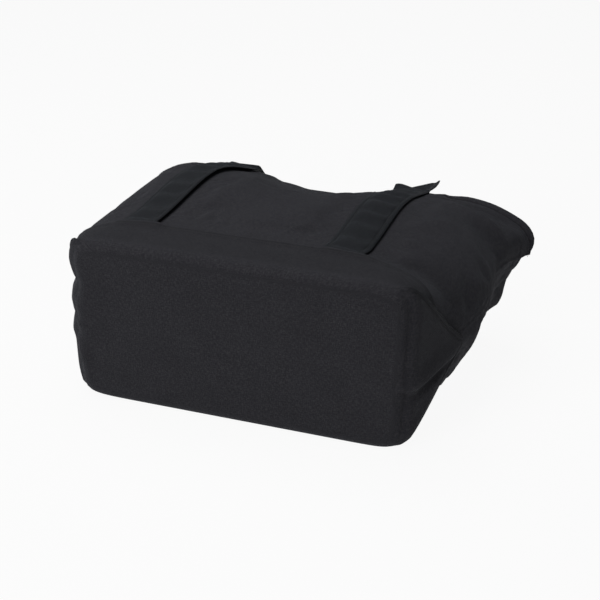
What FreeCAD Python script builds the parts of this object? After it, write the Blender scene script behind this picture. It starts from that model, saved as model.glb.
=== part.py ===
import FreeCAD, Part
import math
import os
import Sketcher
from FreeCAD import Placement, Rotation, Vector

# Canvas tote bag lying on its back panel: X across the bag, -Y towards its base, +Y out of its mouth, Z up.
# Every canvas piece is a thin layer of one limp box, the "skin", whose sections are given along its length.

doc = FreeCAD.newDocument("canvas_tote_bag")

# --- Driving dimensions (millimetres, degrees) --------------------------------------------------------
DIMENSIONS = [
    ("base_width", 340, "base panel, side to side"),
    ("base_depth", 178, "base panel, front to back"),
    ("front_length", 288, "base to the middle of the front rim"),
    ("back_length", 274, "base to the middle of the back rim, which lies slack"),
    ("seam_length", 260, "base to the mouth end of a side seam"),
    ("canvas", 1.2, "thickness of one layer of canvas"),
    ("layer_gap", 0.3, "air between two layers that are sewn together"),
    ("edge_radius", 8, "soft edge where the base turns into the walls"),
    ("turn_up", 58, "height of the bottom layer on the walls"),
    ("flap_height", 94, "boxed corner flap, from the base to its tip"),
    ("flap_thickness", 3, "boxed corner flap, pressed flat"),
    ("flap_tip_radius", 4, "rounding of the flap's tip"),
    ("hem_width", 25, "hem turned in along the mouth"),
    ("rim_sag", 25, "how far the front rim sinks between the handle's two straps"),
    ("sag_place", 9, "deepest place of that sag, to the right of the middle"),
    ("sag_reach", 79, "from there to where the sag is about a third as deep"),
    ("strap_width", 43, "handle strap"),
    ("strap_thickness", 2.4, "handle strap, canvas folded double"),
    ("strap_spacing", 219, "between the middles of a handle's two straps"),
    ("strap_shift", -13.5, "the handles' middle, pulled to the left with the slack panel"),
    ("lean_left", 27, "sideways pull of the front panel at the rim, at its left strap"),
    ("lean_right", 16, "the same at its right strap"),
    ("handle_drop", 90, "free loop of a handle, from the rim to its far end"),
    ("handle_leg", 26, "straight part of the free loop before it curves"),
    ("hinge_gap", 1.3, "between the middle of a sewn strap's end and its free loop"),
    ("hinge_lift", 3, "height of the front handle's folding line over its straps' ends"),
]
sheet = doc.addObject("Spreadsheet::Sheet", "sizes")
for row, (alias, value, note) in enumerate(DIMENSIONS, start=1):
    sheet.set(f"A{row}", note)
    sheet.set(f"B{row}", str(value))
    sheet.setAlias(f"B{row}", alias)
doc.recompute()


def size(alias):
    """A driving dimension, read from the sheet."""
    return float(getattr(sheet, alias))


BASE_WIDTH = size("base_width")
BASE_DEPTH = size("base_depth")
CANVAS = size("canvas")
GAP = size("layer_gap")
STRAP = size("strap_thickness")
HALF_WIDTH = BASE_WIDTH / 2
FLAT_REACH = (BASE_WIDTH + BASE_DEPTH) / 2
TURN_UP_SHARE = size("turn_up") / size("seam_length")

# Heights of the limp box over the floor: the bottom layer and the sewn straps lie under the back panel.
UNDER_BASE = 2 * CANVAS + GAP
UNDER_STRAPS = CANVAS + GAP + STRAP

# --- The skin: inside face of the canvas body ----------------------------------------------------------
# One row per section: the share of the length, then the two side seams (reach from the middle, height),
# the crown of the front panel (sideways place, height), the lowest line of the back panel (sideways place,
# height), and the fullness of each quarter. A fullness of 2 is an ellipse, more is squarer, and near 1 is
# a straight slope.
SECTIONS = [
    # along, right seam (x, z), left seam (x, z), crown (x, z), floor (x, z), front right/left, back right/left
    (0.00, HALF_WIDTH, 0.50, HALF_WIDTH, 0.50, -0.06, 1.00, 0.06, UNDER_BASE, 16.0, 16.0, 16.0, 16.0),
    (0.223, HALF_WIDTH + 0.133 * BASE_DEPTH, 0.505, HALF_WIDTH + 0.144 * BASE_DEPTH, 0.50,
     -0.12, 1.015, 0.25, UNDER_STRAPS, 4.2, 5.1, 4.2, 6.0),
    (0.325, HALF_WIDTH + 0.194 * BASE_DEPTH, 0.53, HALF_WIDTH + 0.210 * BASE_DEPTH, 0.50,
     -0.16, 1.03, 0.42, UNDER_STRAPS, 2.7, 3.5, 3.0, 5.2),
    (0.65, FLAT_REACH - 0.169 * BASE_DEPTH, 0.635, FLAT_REACH - 0.326 * BASE_DEPTH, 0.445,
     -0.29, 1.10, 0.62, UNDER_STRAPS, 2.45, 3.0, 2.05, 5.2),
    (1.00, FLAT_REACH - 0.070 * BASE_DEPTH, 0.68, FLAT_REACH - 0.269 * BASE_DEPTH, 0.32,
     -0.45, 0.945, 0.74, UNDER_STRAPS, 3.2, 4.0, 2.2, 4.5),
]


TURN_WEIGHT = 45  # millimetres of a straight run that count as much as one radian of turn


def blend(position, places, values):
    """Smooth, non-overshooting curve through values at places, read at position."""
    steps = [places[i + 1] - places[i] for i in range(len(places) - 1)]
    slopes = [(values[i + 1] - values[i]) / steps[i] for i in range(len(steps))]
    tangents = [slopes[0]]
    for before, after in zip(slopes, slopes[1:]):
        tangents.append(2 * before * after / (before + after) if before * after > 0 else 0.0)
    tangents.append(slopes[-1])
    i = max(k for k in range(len(steps)) if k == 0 or places[k] <= position)
    t = (position - places[i]) / steps[i]
    return (values[i] * (1 + 2 * t) * (1 - t) ** 2 + values[i + 1] * t * t * (3 - 2 * t)
            + steps[i] * (tangents[i] * t * (1 - t) ** 2 - tangents[i + 1] * t * t * (1 - t)))


def section_values(along):
    """The section's numbers at a share of the bag's length."""
    places = [row[0] for row in SECTIONS]
    return [blend(along, places, [row[k] for row in SECTIONS]) for k in range(1, len(SECTIONS[0]))]


def above_turn_up(along):
    """Share of the way from the bottom layer's rim to the mouth, 0 below that rim."""
    return max(0.0, (along - TURN_UP_SHARE) / (1 - TURN_UP_SHARE))


def section_half(side, along, count=240):
    """Points (x, z) of the front or back half of a section, from the right seam to the left seam."""
    reach_r, seam_r, reach_l, seam_l, crown_x, crown_z, floor_x, floor_z, fr, fl, br, bl = section_values(along)
    middle = (crown_x if side == "front" else floor_x) * HALF_WIDTH
    top = crown_z * BASE_DEPTH - CANVAS if side == "front" else floor_z
    full_r, full_l = (fr, fl) if side == "front" else (br, bl)
    sag = size("rim_sag") * above_turn_up(along) ** 1.5 if side == "front" else 0.0
    points = []
    for k in range(count + 1):
        angle = math.pi * k / count
        right = angle <= math.pi / 2
        full = full_r if right else full_l
        reach = reach_r if right else -reach_l
        seam = (seam_r if right else seam_l) * BASE_DEPTH
        across = abs(math.cos(angle)) ** (2 / full)
        rise = math.sin(angle) ** (2 / full) if 0 < k < count else 0.0
        x = middle + (reach - middle) * across
        sunk = sag * math.exp(-((x - size("sag_place")) / size("sag_reach")) ** 2)
        points.append((x, seam + (top - seam) * rise - sunk))
    return points


def station(side, along, x, z):
    """Puts a section point at its place along the bag; above the bottom layer the middle runs further."""
    reach_r, _, reach_l = section_values(along)[:3]
    share = abs(x) / (reach_r if x > 0 else reach_l)
    run = 1 - share ** 2
    extra = (size(f"{side}_length") - size("seam_length")) * run * above_turn_up(along) ** 2
    return Vector(x, along * size("seam_length") + extra, z)


def spaced(points, count):
    """Points of a polyline at equal steps along it, closer together where it turns."""
    steps = [0.0]
    for k in range(1, len(points)):
        before, here, after = points[max(k - 2, 0)], points[k - 1], points[k]
        heading = math.atan2(after[1] - here[1], after[0] - here[0])
        previous = math.atan2(here[1] - before[1], here[0] - before[0]) if k > 1 else heading
        turn = abs(math.remainder(heading - previous, 2 * math.pi))
        steps.append(steps[-1] + math.dist(here, after) + TURN_WEIGHT * turn)
    result = []
    k = 0
    for number in range(count):
        target = steps[-1] * number / (count - 1)
        while k < len(points) - 2 and steps[k + 1] < target:
            k += 1
        share = (target - steps[k]) / (steps[k + 1] - steps[k])
        result.append(tuple(p + (q - p) * share for p, q in zip(points[k], points[k + 1])))
    return result


def shrunk_foot(side, distance, count):
    """The base's outline, drawn in by a distance on every side."""
    seam = section_values(0.0)[1] * BASE_DEPTH
    foot = spaced(section_half(side, 0.0), count)
    drop = max(abs(z - seam) for _, z in foot)
    return [(x * (1 - distance / HALF_WIDTH), seam + (z - seam) * (1 - distance / drop)) for x, z in foot]


EDGE_ANGLES = (90, 60, 30, 12)
LOWER_ROWS = 3
UPPER_ROWS = 6


def half_rows(side, end, count):
    """Rows of skin points from the base plane, round its soft edge and along the walls to a share."""
    radius = size("edge_radius")
    start = radius / size("seam_length")
    rows = []
    for angle in EDGE_ANGLES:
        distance = radius * (1 - math.cos(math.radians(angle)))
        height = radius * (1 - math.sin(math.radians(angle)))
        rows.append([Vector(x, height, z) for x, z in shrunk_foot(side, distance, count)])
    shares = [start + (TURN_UP_SHARE - start) * k / LOWER_ROWS for k in range(LOWER_ROWS + 1)]
    if end > TURN_UP_SHARE:
        shares += [TURN_UP_SHARE + (end - TURN_UP_SHARE) * k / UPPER_ROWS for k in range(1, UPPER_ROWS + 1)]
    for along in shares:
        rows.append([station(side, along, x, z) for x, z in spaced(section_half(side, along), count)])
    return rows


def normals(rows, turned):
    """Unit normals of a grid of points; turned is 1 or -1 and picks the side."""
    last = len(rows) - 1
    result = []
    for i, row in enumerate(rows):
        line = []
        for j in range(len(row)):
            before, after = max(j - 1, 0), min(j + 1, len(row) - 1)
            across = row[after] - row[before]
            along = rows[min(i + 1, last)][j] - rows[max(i - 1, 0)][j]
            line.append(along.cross(across).normalize() * turned)
        result.append(line)
    return result


def knots(count):
    """Knots and multiplicities of a cubic curve with so many poles that ends on its end poles."""
    inner = count - 4
    return list(range(inner + 2)), [4] + [1] * inner + [4]


def poles(points):
    """Poles of a cubic curve that passes close to the points: it would cut the corners of its own poles."""
    inner = [here - (before - here * 2 + after) / 6 for before, here, after in zip(points, points[1:], points[2:])]
    return [points[0]] + inner + [points[-1]]


def surface(rows, directions, distance):
    """Smooth surface through a grid of points moved along their normals, and ending on its border."""
    moved = [[p + n * distance for p, n in zip(row, line)] for row, line in zip(rows, directions)]
    lengthwise = zip(*(poles(column) for column in zip(*moved)))
    grid = [poles(list(row)) for row in lengthwise]
    row_knots, row_mults = knots(len(grid))
    point_knots, point_mults = knots(len(grid[0]))
    smooth = Part.BSplineSurface()
    smooth.buildFromPolesMultsKnots(grid, row_mults, point_mults, row_knots, point_knots, False, False, 3, 3)
    return smooth


def border(smooth):
    """The four edges of a surface: its first and last row and its two sides."""
    first, last, left, right = smooth.bounds()
    curves = [smooth.uIso(first), smooth.uIso(last), smooth.vIso(left), smooth.vIso(right)]
    return [curve.toShape() for curve in curves]


def solid_of(faces):
    """Sews faces into one closed solid with its inside inside."""
    shell = Part.makeShell(faces)
    shell.sewShape()
    solid = Part.makeSolid(shell)
    if solid.Volume < 0:
        solid.reverse()
    return solid


def cloth(rows, low, high, turned, directions=None):
    """A layer of canvas over a grid of skin points, between two distances from the skin."""
    directions = directions or normals(rows, turned)
    faces_of = [surface(rows, directions, distance) for distance in (low, high)]
    rims = [Part.makeRuledSurface(a, b) for a, b in zip(*(border(face) for face in faces_of))]
    return solid_of([face.toShape() for face in faces_of] + rims)


def add_feature(name, shape):
    """A sub-part whose shape is set from the sheet's sizes."""
    feature = doc.addObject("Part::Feature", name)
    feature.Label = name
    feature.Shape = shape
    return feature


parts = []
SIDES = {"front": 1, "back": -1}
PANEL_COLUMNS = 29

# --- Canvas body: front and back panel, seam to seam, with the layer that closes the base ---------------
skins = {}
for side, outward in SIDES.items():
    rows = half_rows(side, 1.0, PANEL_COLUMNS)
    facing = normals(rows, outward)
    facing[0] = [Vector(0, -1, 0)] * PANEL_COLUMNS
    skins[side] = surface(rows, facing, 0)
    parts.append(add_feature(f"{side}_panel", cloth(rows, 0, CANVAS, outward, facing)))


def on_skin(side, point):
    """The place on a panel's inside face that is nearest to a point."""
    return skins[side].value(*skins[side].parameter(point))


def cup_walls(distance):
    """Front and back wall of a cup round the skin, up to the turn-up's rim, and its flat bottom."""
    walls = []
    for side, outward in SIDES.items():
        rows = half_rows(side, TURN_UP_SHARE, PANEL_COLUMNS)
        facing = normals(rows, outward)
        facing[0] = [Vector(0, -1, 0)] * PANEL_COLUMNS
        for i in range(1, len(rows)):
            for end, way in ((0, 1), (-1, -1)):
                climb = rows[min(i + 1, len(rows) - 1)][end] - rows[i - 1][end]
                facing[i][end] = Vector(climb.y, -climb.x, 0).normalize() * way
        walls.append(surface(rows, facing, distance))
    bottom = Part.Face(Part.Wire([border(wall)[0] for wall in walls]))
    return walls, bottom


parts.append(add_feature("inner_base", cup_walls(0)[1].extrude(Vector(0, -CANVAS, 0))))

# --- Bottom layer: a second canvas cup outside the body, turned up on all four walls --------------------
inside_walls, inside_bottom = cup_walls(CANVAS + GAP)
outside_walls, outside_bottom = cup_walls(2 * CANVAS + GAP)
rims = [Part.makeRuledSurface(border(low)[1], border(high)[1]) for low, high in zip(inside_walls, outside_walls)]
cup_faces = [wall.toShape() for wall in inside_walls + outside_walls] + [inside_bottom, outside_bottom] + rims
parts.append(add_feature("base_layer", solid_of(cup_faces)))

# --- Mouth hems: each panel's edge turned in, the second layer inside the rim ----------------------------
HEM_ROWS = 4
for side, outward in SIDES.items():
    share = size("hem_width") / size(f"{side}_length")
    rows = []
    for step in range(HEM_ROWS):
        along = 1 - share * (1 - step / (HEM_ROWS - 1))
        around = spaced(section_half(side, along), PANEL_COLUMNS)
        rows.append([on_skin(side, station(side, along, x, z)) for x, z in around])
    facing = [line[1:-1] for line in normals(rows, outward)]
    clear_of_seams = [row[1:-1] for row in rows]
    hem = cloth(clear_of_seams, -GAP - CANVAS, -GAP, outward, facing)
    parts.append(add_feature(f"mouth_hem_{side}", hem))

# --- Boxed corners: the bag's bottom corners, folded up flat against the walls and sewn down -------------
FLAP_SIDES = {"right": 1, "left": -1}


def flap_body(name):
    """A triangle of folded canvas standing on the base's side edge, with its tip on the side seam."""
    body = doc.addObject("PartDesign::Body", name)
    body.Label = name
    sketch = body.newObject("Sketcher::SketchObject", name + "_outline")
    plane = next(p for p in body.Origin.OriginFeatures if p.Role == "YZ_Plane")
    sketch.AttachmentSupport = [(plane, "")]
    sketch.MapMode = "FlatFace"
    half = BASE_DEPTH / 2 - size("edge_radius")
    corners = [Vector(0, -half, 0), Vector(size("flap_height"), 0, 0), Vector(0, half, 0)]
    for k in range(3):
        sketch.addGeometry(Part.LineSegment(corners[k], corners[(k + 1) % 3]), False)
    for k in range(3):
        sketch.addConstraint(Sketcher.Constraint("Coincident", k, 2, (k + 1) % 3, 1))
    sketch.addConstraint(Sketcher.Constraint("PointOnObject", 0, 1, -2))
    sketch.addConstraint(Sketcher.Constraint("PointOnObject", 1, 1, -1))
    sketch.addConstraint(Sketcher.Constraint("Symmetric", 0, 1, 1, 2, -1))
    sketch.addConstraint(Sketcher.Constraint("DistanceX", -1, 1, 1, 1, size("flap_height")))
    sketch.addConstraint(Sketcher.Constraint("DistanceY", 0, 1, 1, 2, 2 * half))
    sketch.renameConstraint(6, "height")
    sketch.renameConstraint(7, "foot")
    sketch.setExpression("Constraints.height", "sizes.flap_height - sizes.edge_radius")
    sketch.setExpression("Constraints.foot", "sizes.base_depth - 2 * sizes.edge_radius")
    pad = body.newObject("PartDesign::Pad", name + "_layers")
    pad.Profile = sketch
    pad.setExpression("Length", "sizes.flap_thickness")
    doc.recompute()
    tip = next(f"Edge{k}" for k, edge in enumerate(pad.Shape.Edges, start=1)
               if abs(edge.CenterOfMass.y - (size("flap_height") - size("edge_radius"))) < 0.01
               and abs(edge.CenterOfMass.z) < 0.01 and edge.Length < size("flap_thickness") + 0.01)
    rounding = body.newObject("PartDesign::Fillet", name + "_tip")
    rounding.Base = (pad, [tip])
    rounding.setExpression("Radius", "sizes.flap_tip_radius")
    return body


FLAP_OFF_SKIN = 2 * CANVAS + 2 * GAP
for name, way in FLAP_SIDES.items():
    flap = flap_body(f"corner_flap_{name}")
    reach = {along: section_values(along)[0 if way > 0 else 2] for along in (0.0, 0.20)}
    flare = math.degrees(math.atan2(reach[0.20] - reach[0.0], 0.20 * size("seam_length")))
    turn = Rotation(Vector(0, 0, 1), -way * flare)
    if way < 0:
        turn = turn * Rotation(Vector(0, 1, 0), 180)
    off = turn.multVec(Vector(FLAP_OFF_SKIN, size("edge_radius"), 0))
    flap.Placement = Placement(Vector(way * reach[0.0], 0, BASE_DEPTH / 2) + off, turn)
    parts.append(flap)

# --- Handle straps: four sewn lengths, from under the bottom layer's rim up to the mouth -----------------
STRAP_COLUMNS = 5
STRAP_ROWS = 12
STRAP_MIDDLES = {name: size("strap_shift") + way * size("strap_spacing") / 2 for name, way in FLAP_SIDES.items()}


def skin_point(side, along, x):
    """The skin's point over or under a place across the bag."""
    points = section_half(side, along)
    k = next(i for i in range(len(points) - 1) if points[i + 1][0] <= x)
    (x0, z0), (x1, z1) = points[k], points[k + 1]
    return station(side, along, x, z0 + (z1 - z0) * (x - x0) / (x1 - x0))


def strap_rows(side, middle, lean):
    """Grid of skin points under a sewn strap, from the bottom layer's rim to the mouth."""
    start = TURN_UP_SHARE + 4 * GAP / size("seam_length")
    rows = []
    for i in range(STRAP_ROWS):
        along = start + (1 - start) * i / (STRAP_ROWS - 1)
        centre = middle + lean * above_turn_up(along)
        places = [centre + size("strap_width") * (0.5 - j / (STRAP_COLUMNS - 1)) for j in range(STRAP_COLUMNS)]
        rows.append([on_skin(side, skin_point(side, along, x)) for x in places])
    return rows


UNDERSIDE = CANVAS + GAP
strap_ends = {}
strap_skews = {}
for side, outward in SIDES.items():
    for name, middle in STRAP_MIDDLES.items():
        rows = strap_rows(side, middle, size(f"lean_{name}") if side == "front" else 0.0)
        parts.append(add_feature(f"strap_{side}_{name}", cloth(rows, UNDERSIDE, UNDERSIDE + STRAP, outward)))
        centre = STRAP_COLUMNS // 2
        facing = normals(rows, outward)[-1][centre]
        strap_ends[side, name] = rows[-1][centre] + facing * (UNDERSIDE + STRAP / 2)
        strap_skews[side, name] = [point.y - rows[-1][centre].y for point in rows[-1]]

# --- Handle loops: the free part of each handle, a strap that turns on edge at its far end ---------------
LEG_ROWS = 3
ARC_ROWS = 14
LOOP_OFF_FLOOR = 1.8
# Side view of the front loop as shares of its drop: out from the rim and up. It bends over and hangs down.
FRONT_DROOP = [(0.0, 0.0), (0.20, 0.0), (0.40, -0.14), (0.60, -0.40), (0.76, -0.74)]
TURN_DELAY = {"front": 1.5, "back": 1.0}


def turn_on_edge(side, share):
    """How far the strap is turned about its own length: flat at both rims, on edge about half way round."""
    return math.radians(90) * math.sin(math.pi * share ** TURN_DELAY[side]) ** 1.5


def loop_path():
    """Stations of a loop: across from its middle, distance from the rim, and share of the way round."""
    half, leg, drop = size("strap_spacing") / 2, size("handle_leg"), size("handle_drop")
    start = size("hinge_gap")
    stations = [(-half, start + (leg - start) * k / LEG_ROWS) for k in range(LEG_ROWS)]
    for k in range(ARC_ROWS + 1):
        angle = math.pi * k / ARC_ROWS
        stations.append((-half * math.cos(angle), leg + (drop - leg) * math.sin(angle)))
    stations += [(half, r) for _, r in stations[LEG_ROWS - 1::-1]]
    return [(x, r, k / (len(stations) - 1)) for k, (x, r) in enumerate(stations)]


def front_profile(distance):
    """Out and up from the rim of the front loop at a distance along its drop."""
    places = [k / (len(FRONT_DROOP) - 1) for k in range(len(FRONT_DROOP))]
    share = distance / size("handle_drop")
    return tuple(blend(share, places, [point[k] for point in FRONT_DROOP]) * size("handle_drop") for k in (0, 1))


def loop_rows(side):
    """Grid of points in the middle of a loop's strap."""
    left, right = strap_ends[side, "left"], strap_ends[side, "right"]
    across = (right - left).normalize()
    out = Vector(0, 1, 0)
    up = across.cross(out)
    origin = (left + right) / 2
    stations = loop_path()
    centres = []
    for x, r, share in stations:
        if side == "front":
            away, rise = front_profile(r)
        else:
            turned = turn_on_edge(side, share)
            on_floor = LOOP_OFF_FLOOR + (size("strap_width") * math.sin(turned) + STRAP * math.cos(turned)) / 2
            sinking = origin.z * (1 - min(1.0, r / size("handle_leg")))
            away, rise = r, max(on_floor, sinking) - origin.z
        centres.append(origin + across * (x * (right - left).Length / size("strap_spacing")) + out * away + up * rise)
    rows = []
    for k, (x, r, share) in enumerate(stations):
        ahead, behind = centres[min(k + 1, len(centres) - 1)], centres[max(k - 1, 0)]
        tangent = (ahead - behind).normalize()
        if side == "front":
            near, far = (front_profile(max(0.0, min(size("handle_drop"), r + d))) for d in (-1, 1))
            slope = (out * (far[0] - near[0]) + up * (far[1] - near[1])).normalize()
        else:
            slope = out
        face = across.cross(slope)
        outer_edge = face.cross(tangent) * -1
        turned = turn_on_edge(side, share)
        width = (outer_edge * math.cos(turned) - face * math.sin(turned)).normalize() * size("strap_width")
        skews = strap_skews[side, "left"] if x < 0 else strap_skews[side, "right"][::-1]
        skewed = max(0.0, 1 - r / size("handle_leg"))
        rows.append([centres[k] + width * (0.5 - j / (STRAP_COLUMNS - 1)) + out * (skews[j] * skewed)
                     for j in range(STRAP_COLUMNS)])
    return rows


for side in SIDES:
    rows = loop_rows(side)
    parts.append(add_feature(f"handle_{side}", cloth(rows, -STRAP / 2, STRAP / 2, 1)))

# --- The part's frame: origin on the floor under the middle of the whole bag -----------------------------
doc.recompute()
whole = Part.makeCompound([part.Shape for part in parts]).optimalBoundingBox()
to_origin = Vector(-whole.Center.x, -whole.Center.y, -whole.ZMin)
for part in parts:
    part.Placement = Placement(part.Placement.Base + to_origin, part.Placement.Rotation)
doc.recompute()

# --- Checks and files ------------------------------------------------------------------------------------
for entry in doc.Objects:
    if "Invalid" in entry.State or "Error" in entry.State:
        raise RuntimeError(f"{entry.Label} failed: {entry.State}")
for part in parts:
    if part.Shape.isNull() or not part.Shape.isValid() or part.Shape.Volume <= 0:
        raise RuntimeError(f"{part.Label} has no valid solid")

os.makedirs("parts", exist_ok=True)
for part in parts:
    part.Shape.exportStep(f"parts/{part.Label}.step")

# The folding line of each handle, for the joints: over the strap ends, and over the hem at the back.
LIFTS = {"front": size("hinge_lift"), "back": size("hinge_lift") + 2 * (GAP + CANVAS)}
for side in SIDES:
    lifted = to_origin + Vector(0, 0, LIFTS[side])
    left, right = (strap_ends[side, name] + lifted for name in ("left", "right"))
    print(f"{side} handle folds about", *(round(value, 2) for value in (left + right) / 2),
          "along", *(round(value, 4) for value in (right - left).normalize()))
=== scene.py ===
import math

import bpy
import numpy as np
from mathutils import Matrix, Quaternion, Vector, noise


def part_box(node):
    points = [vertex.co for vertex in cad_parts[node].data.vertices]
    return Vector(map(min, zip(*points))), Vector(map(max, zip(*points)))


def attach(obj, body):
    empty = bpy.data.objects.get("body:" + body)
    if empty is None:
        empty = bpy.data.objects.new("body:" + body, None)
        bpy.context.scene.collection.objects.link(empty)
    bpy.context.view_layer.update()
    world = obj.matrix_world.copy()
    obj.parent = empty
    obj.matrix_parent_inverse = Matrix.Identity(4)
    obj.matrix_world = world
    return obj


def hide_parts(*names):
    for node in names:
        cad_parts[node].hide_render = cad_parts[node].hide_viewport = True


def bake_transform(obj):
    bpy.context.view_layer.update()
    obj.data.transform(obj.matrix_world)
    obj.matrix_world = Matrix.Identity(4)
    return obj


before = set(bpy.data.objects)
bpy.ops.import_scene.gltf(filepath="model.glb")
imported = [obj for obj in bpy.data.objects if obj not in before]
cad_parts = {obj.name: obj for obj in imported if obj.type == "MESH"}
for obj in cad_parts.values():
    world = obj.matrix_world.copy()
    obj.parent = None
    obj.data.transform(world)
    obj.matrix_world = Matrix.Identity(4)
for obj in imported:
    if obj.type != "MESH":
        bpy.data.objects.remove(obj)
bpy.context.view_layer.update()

# --- Front and back panels ------------------------------------------------------------------------------
# Two panels of heavy dyed cotton canvas, sewn together up both sides into one limp tube. The back panel
# lies on the floor; the front one arches over it from the boxed base and sinks towards the mouth.
BASE_WIDTH, BASE_DEPTH = 0.340, 0.178
SEAM_LENGTH, TURN_UP, EDGE_RADIUS = 0.260, 0.058, 0.008
PANEL_LENGTH = {"front": 0.288, "back": 0.274}
CANVAS, STRAP, LAYER_GAP = 0.0012, 0.0024, 0.0003
HALF_WIDTH, FLAT_REACH = BASE_WIDTH / 2, (BASE_WIDTH + BASE_DEPTH) / 2
UNDER_STRAPS, TWO_LAYERS = CANVAS + LAYER_GAP + STRAP, 2 * CANVAS + LAYER_GAP
TURN_UP_SHARE = TURN_UP / SEAM_LENGTH
OUTWARD = {"front": 1, "back": -1}

inner_base_low, inner_base_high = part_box("inner_base")
BAG_MIDDLE = (inner_base_low.x + inner_base_high.x) / 2
BASE_PLANE = inner_base_high.y
FLOOR_LIFT = inner_base_low.z - TWO_LAYERS - EDGE_RADIUS

# Share of the length; right seam (reach, height share); left seam; crown of the front panel (share of the
# half width, height share); lowest line of the back panel (share, height); fullness of the front right,
# front left, back right and back left quarters.
SECTIONS = np.array([
    (0.00, HALF_WIDTH, 0.50, HALF_WIDTH, 0.50, -0.06, 1.00, 0.06, TWO_LAYERS, 16.0, 16.0, 16.0, 16.0),
    (0.223, HALF_WIDTH + 0.133 * BASE_DEPTH, 0.505, HALF_WIDTH + 0.144 * BASE_DEPTH, 0.50,
     -0.12, 1.015, 0.25, UNDER_STRAPS, 4.2, 5.1, 4.2, 6.0),
    (0.325, HALF_WIDTH + 0.194 * BASE_DEPTH, 0.53, HALF_WIDTH + 0.210 * BASE_DEPTH, 0.50,
     -0.16, 1.03, 0.42, UNDER_STRAPS, 2.7, 3.5, 3.0, 5.2),
    (0.65, FLAT_REACH - 0.169 * BASE_DEPTH, 0.635, FLAT_REACH - 0.326 * BASE_DEPTH, 0.445,
     -0.29, 1.10, 0.62, UNDER_STRAPS, 2.45, 3.0, 2.05, 5.2),
    (1.00, FLAT_REACH - 0.070 * BASE_DEPTH, 0.68, FLAT_REACH - 0.269 * BASE_DEPTH, 0.32,
     -0.45, 0.945, 0.74, UNDER_STRAPS, 3.2, 4.0, 2.2, 4.5),
])
RIM_SAG, SAG_PLACE, SAG_REACH = 0.025, 0.009, 0.079
SECTION_POINTS = 481


def mound(values, middle, width):
    """Smooth hump: 1 at its middle, and all but gone two widths away."""
    return np.exp(-((values - middle) / width) ** 2)


def above_turn_up(along):
    """Share of the way from the bottom layer's rim to the mouth, at a share of the bag's length."""
    return np.clip((along - TURN_UP_SHARE) / (1 - TURN_UP_SHARE), 0, 1)


def smooth_curve(position, places, values):
    """Smooth curve through values at places that never swings past them, read at position."""
    steps = np.diff(places)
    slopes = np.diff(values) / steps
    tangents = [slopes[0]]
    for before, after in zip(slopes, slopes[1:]):
        tangents.append(2 * before * after / (before + after) if before * after > 0 else 0.0)
    tangents.append(slopes[-1])
    i = int(np.clip(np.searchsorted(places, position, "right") - 1, 0, len(steps) - 1))
    t = (position - places[i]) / steps[i]
    return (values[i] * (1 + 2 * t) * (1 - t) ** 2 + values[i + 1] * t * t * (3 - 2 * t)
            + steps[i] * (tangents[i] * t * (1 - t) ** 2 - tangents[i + 1] * t * t * (1 - t)))


def cross_section(side, along):
    """Half of the bag's cross-section at a share of its length, as (x, z) from the right to the left seam."""
    reach_r, seam_r, reach_l, seam_l, crown_x, crown_z, floor_x, floor_z, fr, fl, br, bl = (
        smooth_curve(along, SECTIONS[:, 0], SECTIONS[:, k]) for k in range(1, SECTIONS.shape[1]))
    middle = (crown_x if side == "front" else floor_x) * HALF_WIDTH
    top = crown_z * BASE_DEPTH - CANVAS if side == "front" else floor_z
    angle = np.linspace(0, math.pi, SECTION_POINTS)
    right = angle <= math.pi / 2
    full = np.where(right, fr if side == "front" else br, fl if side == "front" else bl)
    reach = np.where(right, reach_r, -reach_l)
    seam = np.where(right, seam_r, seam_l) * BASE_DEPTH
    across = np.abs(np.cos(angle)) ** (2 / full)
    rise = np.abs(np.sin(angle)) ** (2 / full)
    rise[0] = rise[-1] = 0.0
    x = middle + (reach - middle) * across
    sunk = RIM_SAG * above_turn_up(along) ** 1.5 * mound(x, SAG_PLACE, SAG_REACH) if side == "front" else 0.0
    line = np.column_stack([x, seam + (top - seam) * rise - sunk])
    return line, reach_r, reach_l


# The right side seam does not run straight to the mouth: share of the length, shift out, shift up.
SIDE_DRIFT = np.array([(0.0, 0, 0), (0.25, 0, 0), (0.38, 0.003, 0), (0.48, 0.0055, 0), (0.60, 0.001, 0),
                       (0.76, -0.010, -0.001), (0.90, -0.003, 0.001), (1.0, 0.0055, 0.0045)])
SEAM_DROP, DROP_START = 0.012, 0.85


def placed(side, along, line, reach_r, reach_l):
    """Section points at their place along the bag: the middle of a panel runs further than its seams."""
    x = line[:, 0]
    share = np.abs(x) / np.where(x > 0, reach_r, reach_l)
    on_right = np.where(x > 0, share, 0)
    drift_out, drift_up = (np.interp(along, SIDE_DRIFT[:, 0], SIDE_DRIFT[:, k]) for k in (1, 2))
    dropped = SEAM_DROP * max(0.0, (along - DROP_START) / (1 - DROP_START)) * on_right ** 12
    line = line + np.column_stack([drift_out * on_right ** 4, drift_up * on_right ** 4 - dropped])
    extra = (PANEL_LENGTH[side] - SEAM_LENGTH) * (1 - share ** 2) * above_turn_up(along) ** 2
    y = along * SEAM_LENGTH + extra
    return np.column_stack([BAG_MIDDLE + line[:, 0], BASE_PLANE + y, FLOOR_LIFT + line[:, 1]])


def lengths(points):
    """Length along a line of points, from its first point."""
    return np.concatenate([[0], np.cumsum(np.linalg.norm(np.diff(points, axis=0), axis=1))])


def read_along(where, run, values):
    """Rows of values at distances along a run."""
    return np.column_stack([np.interp(where, run, values[:, k]) for k in range(values.shape[1])])


def respaced(points, shares):
    """Points of a line at shares of its length."""
    run = lengths(points)
    return read_along(shares * run[-1], run, points)


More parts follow.
